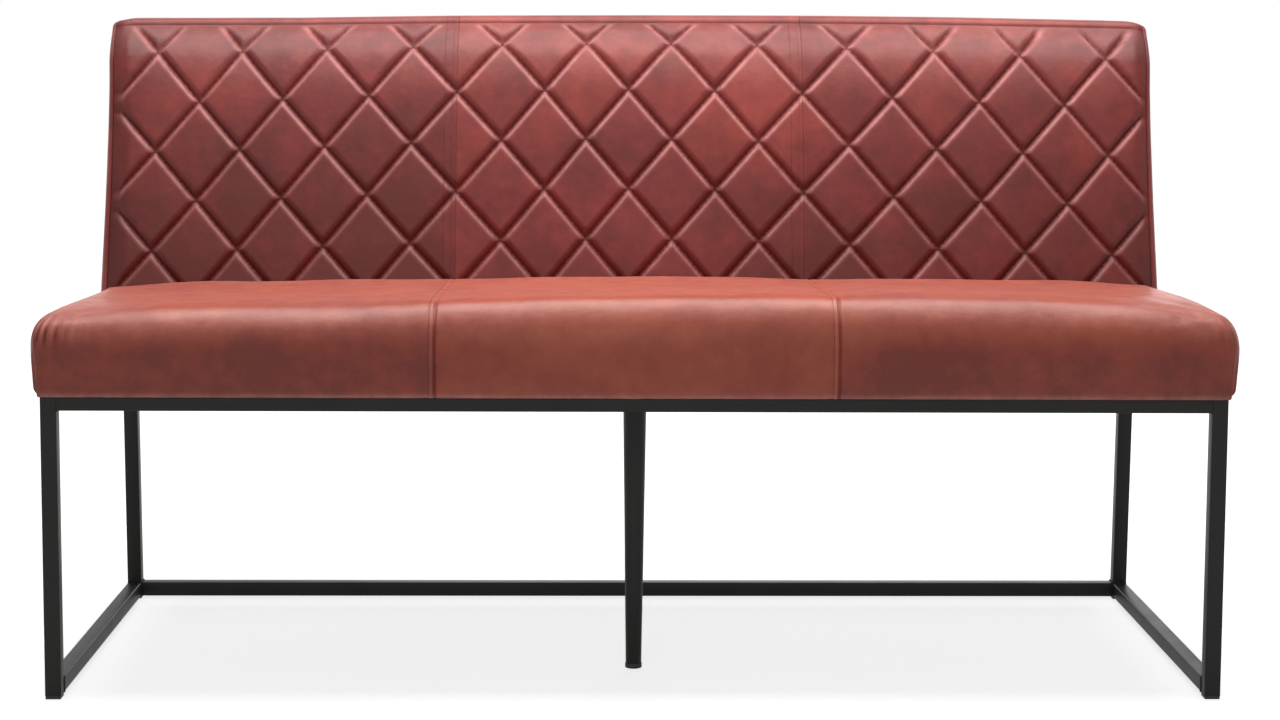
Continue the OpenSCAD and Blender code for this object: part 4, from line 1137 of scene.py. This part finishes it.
# %% Helpers for the soft inner parts
# The distance between the lining's staples, and the height above which the back's foam bends
STAPLE_GAP, FOAM_BENDS = 40.0, 600


def cut(work, place, normal):
    """Cuts every face of a copy along a plane, and keeps both sides."""
    everything = work.verts[:] + work.edges[:] + work.faces[:]
    bmesh.ops.bisect_plane(work, geom=everything, plane_co=place, plane_no=normal, dist=1e-6)


def gridded(work, step_across, step_deep):
    """Cuts a flat piece along even lines, so it can bend."""
    xs, ys = [v.co.x for v in work.verts], [v.co.y for v in work.verts]
    for axis, low, high, step in ((0, min(xs), max(xs), step_across), (1, min(ys), max(ys), step_deep)):
        for place in spread(low, high, step * MM)[1:]:
            spot, line = [0, 0, 0], [0, 0, 0]
            spot[axis], line[axis] = place, 1
            cut(work, spot, line)
    return work


def bent(work, rule):
    """Moves each point up by a rule of its place, given in millimetres."""
    spots = np.array([v.co[:] for v in work.verts]) / MM
    lift = rule(spots[:, 0], spots[:, 1])
    for vert, rise in zip(work.verts, lift * MM):
        vert.co.z += rise
    return work


web_low, web_high = box_of("seat_webbing")


def webbing_sag(x, y):
    """The straps sink between the front rail and the rear one."""
    across = (y - web_low.y) / (web_high.y - web_low.y)
    return -3.5 * np.sin(math.pi * np.clip(across, 0, 1)) ** 0.7 * (1 + 0.2 * np.sin(x / 90.0))


def cloth_hang(low, high, free):
    """Puckers between the staples, and a slack belly in the free bay."""
    def rule(x, y):
        in_x, in_y = np.minimum(x - low.x, high.x - x), np.minimum(y - low.y, high.y - y)
        edge, turn = np.minimum(in_x, in_y), np.where(in_x < in_y, y, x)
        pucker = 0.22 * np.cos(2 * math.pi * turn / STAPLE_GAP) * np.exp(-np.maximum(0, edge - 6) / 16)
        bay = smooth((np.abs(x) - 30) / 90) * smooth((655 - np.abs(x)) / 90) * smooth((edge - 50) / 60)
        return pucker - free * bay * (1 + 0.25 * np.sin(x / 47.0 + y / 31.0))
    return rule


print("webbing spans", round(web_high.y - web_low.y), "mm")

# %% [markdown]
# The back's foam leans with the cover in front of it. Its upper part is cut into bands, and
# what would stand through the leather is pressed back behind it.

# %% Webbing, foam and lining
straps = placed(rounded(bent(gridded(copy_of("seat_webbing"), 5000, 22), webbing_sag), 0.4, 150, 1), "webbing_straps")
dress(straps, webbing_black, ["seat_webbing"])

seat_block = placed(rounded(copy_of("seat_foam"), 5, 20, 4), "seat_foam_block", 50)
back_work = rounded(copy_of("back_foam"), 5, 20, 4)
for height in range(FOAM_BENDS, 840, 15):
    cut(back_work, (0, 0, height * MM), (0, 0, 1))
under_cover = np.stack([line_y + 4.5 * np.cos(line_lean), line_z - 4.5 * np.sin(line_lean)], -1)
for vert in back_work.verts:
    spot = np.array([vert.co.y / MM - front_line, vert.co.z / MM])
    if spot[1] > FOAM_BENDS and spot[0] < np.interp(spot[1], under_cover[:, 1], under_cover[:, 0]):
        spot = under_cover[np.argmin(np.linalg.norm(under_cover - spot, axis=1))]
        vert.co.y, vert.co.z = (spot[0] + front_line) * MM, spot[1] * MM
back_block = placed(back_work, "back_foam_block", 50)
for block, node in ((seat_block, "seat_foam"), (back_block, "back_foam")):
    dress(block, foam_cream, [node])

for node, name, free, rests in (("seat_base_cloth", "seat_lining", 3.0, ["seat_front_rail", "seat_rear_rail"]),
                                ("back_base_cloth", "back_lining", 0.4, ["back_lower_rail"])):
    low, high = box_of(node)
    cloth = placed(bent(gridded(copy_of(node), 10, 10), cloth_hang(low, high, free)), name, 60)
    dress(cloth, lining_black, [node])
    print(name, len(cloth.data.vertices), "points")

# %% [markdown]
# ## Stitches, staples and weld ripples
# All three are one small shape repeated along a path, so one Geometry Nodes tree makes them.
# It turns the edges of a mesh into curves, puts a point at every pitch, sets a small bead
# there along the curve, and makes it real. Pitch, length and width are named inputs, and the
# sizes vary a little from a fixed seed, as a hand does.

# %% A tree that sets beads along a path
def bead_tree():
    """The tree's inputs, then its nodes in the order in which they work."""
    tree = bpy.data.node_groups.new("beads_along_paths", "GeometryNodeTree")
    for name, kind in (("Geometry", "Geometry"), ("Pitch", "Float"), ("Length", "Float"), ("Width", "Float"),
                       ("Unevenness", "Float"), ("Material", "Material")):
        tree.interface.new_socket(name, in_out="INPUT", socket_type="NodeSocket" + kind)
    tree.interface.new_socket("Geometry", in_out="OUTPUT", socket_type="NodeSocketGeometry")
    given = add(tree, "NodeGroupInput").outputs
    curves = add(tree, "GeometryNodeMeshToCurve", {"Mesh": given["Geometry"]})
    spots = add(tree, "GeometryNodeCurveToPoints", {"Curve": curves, "Length": given["Pitch"]}, mode="LENGTH")
    turn = add(tree, "FunctionNodeAlignRotationToVector", {"Vector": spots.outputs["Tangent"]}, axis="Z")
    bead = add(tree, "GeometryNodeMeshUVSphere", {"Segments": 6, "Rings": 4, "Radius": 0.5})
    least = add(tree, "ShaderNodeMath", {0: 1.0, 1: given["Unevenness"]}, operation="SUBTRACT")
    most = add(tree, "ShaderNodeMath", {0: 1.0, 1: given["Unevenness"]}, operation="ADD")
    vary = add(tree, "FunctionNodeRandomValue", {"Min": least, "Max": most, "Seed": 7}, data_type="FLOAT")
    wide = add(tree, "ShaderNodeMath", {0: given["Width"], 1: vary.outputs["Value"]}, operation="MULTIPLY")
    size = add(tree, "ShaderNodeCombineXYZ", {"X": wide, "Y": wide, "Z": given["Length"]})
    row = add(tree, "GeometryNodeInstanceOnPoints",
              {"Points": spots, "Instance": bead, "Rotation": turn, "Scale": size})
    real = add(tree, "GeometryNodeRealizeInstances", {"Geometry": row})
    done = add(tree, "GeometryNodeSetMaterial", {"Geometry": real, "Material": given["Material"]})
    add(tree, "NodeGroupOutput", {"Geometry": done})
    return tree


BEADS = bead_tree()
print("bead tree:", len(BEADS.nodes), "nodes")

# %% [markdown]
# A guide mesh holds the paths while the tree runs on it. What comes out is a plain mesh, and
# the guide goes.

# %% Beads along paths
def beads(name, paths, pitch_mm, length, width, uneven, material):
    """One piece of beads along all the paths, which are rows of points in millimetres."""
    points, edges = [], []
    for path in paths:
        edges += [(len(points) + k, len(points) + k + 1) for k in range(len(path) - 1)]
        points += [tuple(p) for p in path]
    guide = build("guide", points, [], edges)
    modifier = guide.modifiers.new("beads", "NODES")
    modifier.node_group = BEADS
    values = {"Pitch": pitch_mm * MM, "Length": length * MM, "Width": width * MM, "Unevenness": uneven,
              "Material": material}
    for item in BEADS.interface.items_tree:
        if item.in_out == "INPUT" and item.name in values:
            modifier[item.identifier] = values[item.name]
    settled = guide.evaluated_get(bpy.context.evaluated_depsgraph_get())
    mesh = bpy.data.meshes.new_from_object(settled)
    bpy.data.objects.remove(guide)
    mesh.shade_smooth()
    piece = bpy.data.objects.new(name, mesh)
    scene.collection.objects.link(piece)
    print(name, len(paths), "paths,", len(mesh.polygons), "faces")
    dress(piece, material)


# %% [markdown]
# Quilting is sewn with a 7 mm stitch in a thread near the colour of the hide, so it hardly
# shows from a distance. The paths are worked out from the same rules as the pads. The seat's
# topstitching follows the finished mesh, down the column 7.5 mm left of each seam.

# %% Stitches
quilt_paths = []
for k in range(-20, 21):
    for way in (1, -1):
        s_at = np.arange(68.0, seam_s - 5, 3.4)
        v_at = (s_at - cross_s) / (DIAMOND_H / 2)
        x_at = (2 * k + 1 - way * v_at) * pitch / 2
        inside = np.abs(x_at) < back_half - seam_inset(s_at) - 12
        if inside.sum() > 4:
            x_in, s_in = x_at[inside], s_at[inside]
            quilt_paths.append(face_point(x_in + give(x_in), s_in - droop(x_in, s_in), np.full(x_in.shape, 0.45)))
beads("quilting_stitches", quilt_paths, QUILT_STITCH, 5.6, 0.9, 0.06, thread_red)

top_points = points[:top_count].reshape(fine_top.shape)
ring_points = points[top_count:].reshape(fine_rings.shape)
seat_paths = []
for centre in (-seam_at, seam_at):
    c = int(np.argmin(np.abs(fine_x - (centre - TOPSTITCH))))
    down = ring_points[:, c]
    seat_paths.append(np.concatenate([top_points[:0:-1, c], down[down[:, 2] > 384]]))
back_paths = []
for centre in (-seam_at, seam_at):
    c = left_col + EDGE_COLUMNS + round((centre - 5) / step_x)
    keep_rows = (row_s > 70) & (row_s < seam_s - 8)
    back_paths.append(sheet[keep_rows, c] - (0, 0.1, 0))
beads("seam_topstitches", seat_paths + back_paths, 5.0, 3.9, 0.8, 0.05, thread_red)

# %% [markdown]
# The tubes are joined by short weld runs, laid as a row of overlapping ripples 1.7 mm apart
# and coated with the rest. They fill the groove that two rounded tubes leave where they meet.

# %% Weld ripples
def run_of(*corners):
    """A path of straight runs through corners in the shared frame's millimetres."""
    path = []
    for a, b in zip(corners[:-1], corners[1:]):
        steps = max(2, int(math.dist(a, b) / 2))
        path += [np.array(a) + (np.array(b) - np.array(a)) * t / steps for t in range(steps)]
    return np.array(path + [np.array(corners[-1])]) - (0, front_line, 0)


def tube_end(axis, at, low, high):
    """A path round three sides of a tube's end, at one place on its axis."""
    (a0, b0), (a1, b1) = low, high
    ring = [(a0, b1), (a0, b0), (a1, b0), (a1, b1)]
    return run_of(*[(at, p, q) if axis == "x" else (p, at, q) for p, q in ring])


TUBE, weld_paths = 20, []
leg_in, leg_out = frame_half - TUBE, frame_half - 1
rail_z, weld_top, runner_low, runner_top = frame_top - TUBE, frame_top - 2, 5, 24
front_y, inner_y = rail_low.y, rail_low.y + TUBE
rear_low, rear_high = box_of("rear_top_rail")
foot_low, foot_high = box_of("rear_floor_stretcher")
for side in (-1, 1):
    inner, outer = side * leg_in, side * leg_out
    weld_paths += [
        tube_end("x", inner, (front_y + 1, rail_z), (inner_y, weld_top)),
        tube_end("x", inner, (rear_low.y, rail_z), (rear_high.y, weld_top)),
        tube_end("y", inner_y, (inner, rail_z), (outer, weld_top)),
        tube_end("y", rear_low.y, (inner, rail_z), (outer, weld_top)),
        run_of((inner, inner_y, runner_low), (inner, inner_y, runner_top), (outer, inner_y, runner_top)),
        run_of((inner, foot_low.y, runner_low), (inner, foot_low.y, runner_top), (outer, foot_low.y, runner_top)),
        run_of((inner, foot_low.y, runner_low), (inner, foot_low.y, runner_top), (inner, foot_high.y, runner_top))]
for y in (inner_y, rear_low.y):
    weld_paths.append(run_of((-10, y, frame_top - 3), (-10, y, rail_z), (10, y, rail_z), (10, y, frame_top - 3)))
leg_low, leg_high = box_of("middle_leg")
centre_y, radius = (leg_low.y + leg_high.y) / 2, (leg_high.x - leg_low.x) / 2
turn_at = np.linspace(0, 2 * math.pi, 60)
weld_paths.append(np.stack([radius * np.cos(turn_at), centre_y - front_line + radius * np.sin(turn_at),
                            np.full(60, leg_high.z - 0.4)], -1))
beads("weld_ripples", weld_paths, 1.7, 2.6, 3.0, 0.12, steel_black)

# %% [markdown]
# The lining's staples are 10 mm wide and sit 7 mm in from the edge of the cloth.

# %% Staples
SET_IN = 7
staple_paths = []
for node in ("seat_base_cloth", "back_base_cloth"):
    low, high = box_of(node)
    x0, x1, y0, y1, z = low.x + SET_IN, high.x - SET_IN, low.y + SET_IN, high.y - SET_IN, low.z - 0.1
    staple_paths.append(run_of((x0, y0, z), (x1, y0, z), (x1, y1, z), (x0, y1, z), (x0, y0 + 20, z)))
beads("lining_staples", staple_paths, STAPLE_GAP, 10.0, 0.9, 0.0, zinc_bright)

# %% [markdown]
# ## Stage and light
# A pale studio: one broad soft light straight overhead, which draws the milky band on the
# front roll, a weak fill from the front left, and a low one from behind. The world is white
# for the camera and for reflections, and only a dim grey for diffuse light. The floor glows
# for the camera and in reflections alone, so the shadow on it stays light, as on a white
# studio sheet, and fades out with the distance.

# %% Floor and world
def seen_rays(tree):
    """The kinds of ray, and 1 for those that the camera sees straight or as a reflection."""
    rays = add(tree, "ShaderNodeLightPath").outputs
    return rays, add(tree, "ShaderNodeMath", {0: rays["Is Camera Ray"], 1: rays["Is Glossy Ray"]},
                     operation="MAXIMUM")


def floor_material(nearest, straight_on):
    """A matt white sheet; the glow beside the bench is the nearest one, and more where seen straight."""
    material, tree, place = opened("studio_floor")
    rays, seen = seen_rays(tree)
    matt = add(tree, "ShaderNodeBsdfPrincipled", {"Base Color": linear("#f4f4f4"), "Roughness": 0.9})
    reach = add(tree, "ShaderNodeVectorMath", {0: place}, operation="LENGTH")
    lift = add(tree, "ShaderNodeMath", {0: rays["Is Camera Ray"], 1: straight_on, 2: nearest},
               operation="MULTIPLY_ADD")
    far = add(tree, "ShaderNodeMapRange", {"Value": reach.outputs["Value"], "From Min": 0.7, "From Max": 2.6,
                                           "To Min": lift, "To Max": 1.0}, interpolation_type="SMOOTHSTEP")
    glow = add(tree, "ShaderNodeEmission", {"Color": (1, 1, 1, 1), "Strength": far})
    both = add(tree, "ShaderNodeAddShader", {0: matt, 1: glow})
    pick = add(tree, "ShaderNodeMixShader", {0: seen, 1: matt, 2: both})
    add(tree, "ShaderNodeOutputMaterial", {"Surface": pick})
    return material


ground = bpy.data.meshes.new("studio_floor")
ground.from_pydata([(-9, -9, 0), (9, -9, 0), (9, 9, 0), (-9, 9, 0)], [], [(0, 1, 2, 3)])
ground.materials.append(floor_material(0.45, 0.30))
floor = bpy.data.objects.new("studio_floor", ground)
scene.collection.objects.link(floor)

world = bpy.data.worlds.new("studio")
scene.world = world
world.use_nodes = True
sky = world.node_tree
sky.nodes.clear()
rays, seen = seen_rays(sky)
seen = add(sky, "ShaderNodeMath", {0: seen, 1: rays["Is Transmission Ray"]}, operation="MAXIMUM")
dim = add(sky, "ShaderNodeBackground", {"Color": (1, 1, 1, 1), "Strength": 0.08})
white = add(sky, "ShaderNodeBackground", {"Color": (1, 1, 1, 1), "Strength": 1.0})
mix = add(sky, "ShaderNodeMixShader", {0: seen, 1: dim, 2: white})
add(sky, "ShaderNodeOutputWorld", {"Surface": mix})
print("floor:", ground.materials[0].name, "world:", world.name)

# %% [markdown]
# The lamps are large rectangles, so every shadow has a soft edge.

# %% Lights
def soft_light(name, place, target, width, depth, power):
    """A lamp of a width and a depth in metres, turned to its target."""
    lamp = bpy.data.lights.new(name, "AREA")
    lamp.shape, lamp.size, lamp.size_y, lamp.energy = "RECTANGLE", width, depth, power
    obj = bpy.data.objects.new(name, lamp)
    aim = (Vector(target) - Vector(place)).to_track_quat("-Z", "Y")
    obj.matrix_world = Matrix.LocRotScale(Vector(place), aim, None)
    scene.collection.objects.link(obj)


soft_light("overhead", (0.0, 0.0, 1.6), (0.0, 0.0, 0.45), 2.1, 0.9, 30)
soft_light("front_fill", (-0.4, -4.2, 2.0), (0.0, 0.0, 0.5), 3.0, 1.6, 17)
soft_light("rear_fill", (0.5, 3.6, 0.8), (0.0, 0.3, 0.6), 2.4, 0.8, 12)
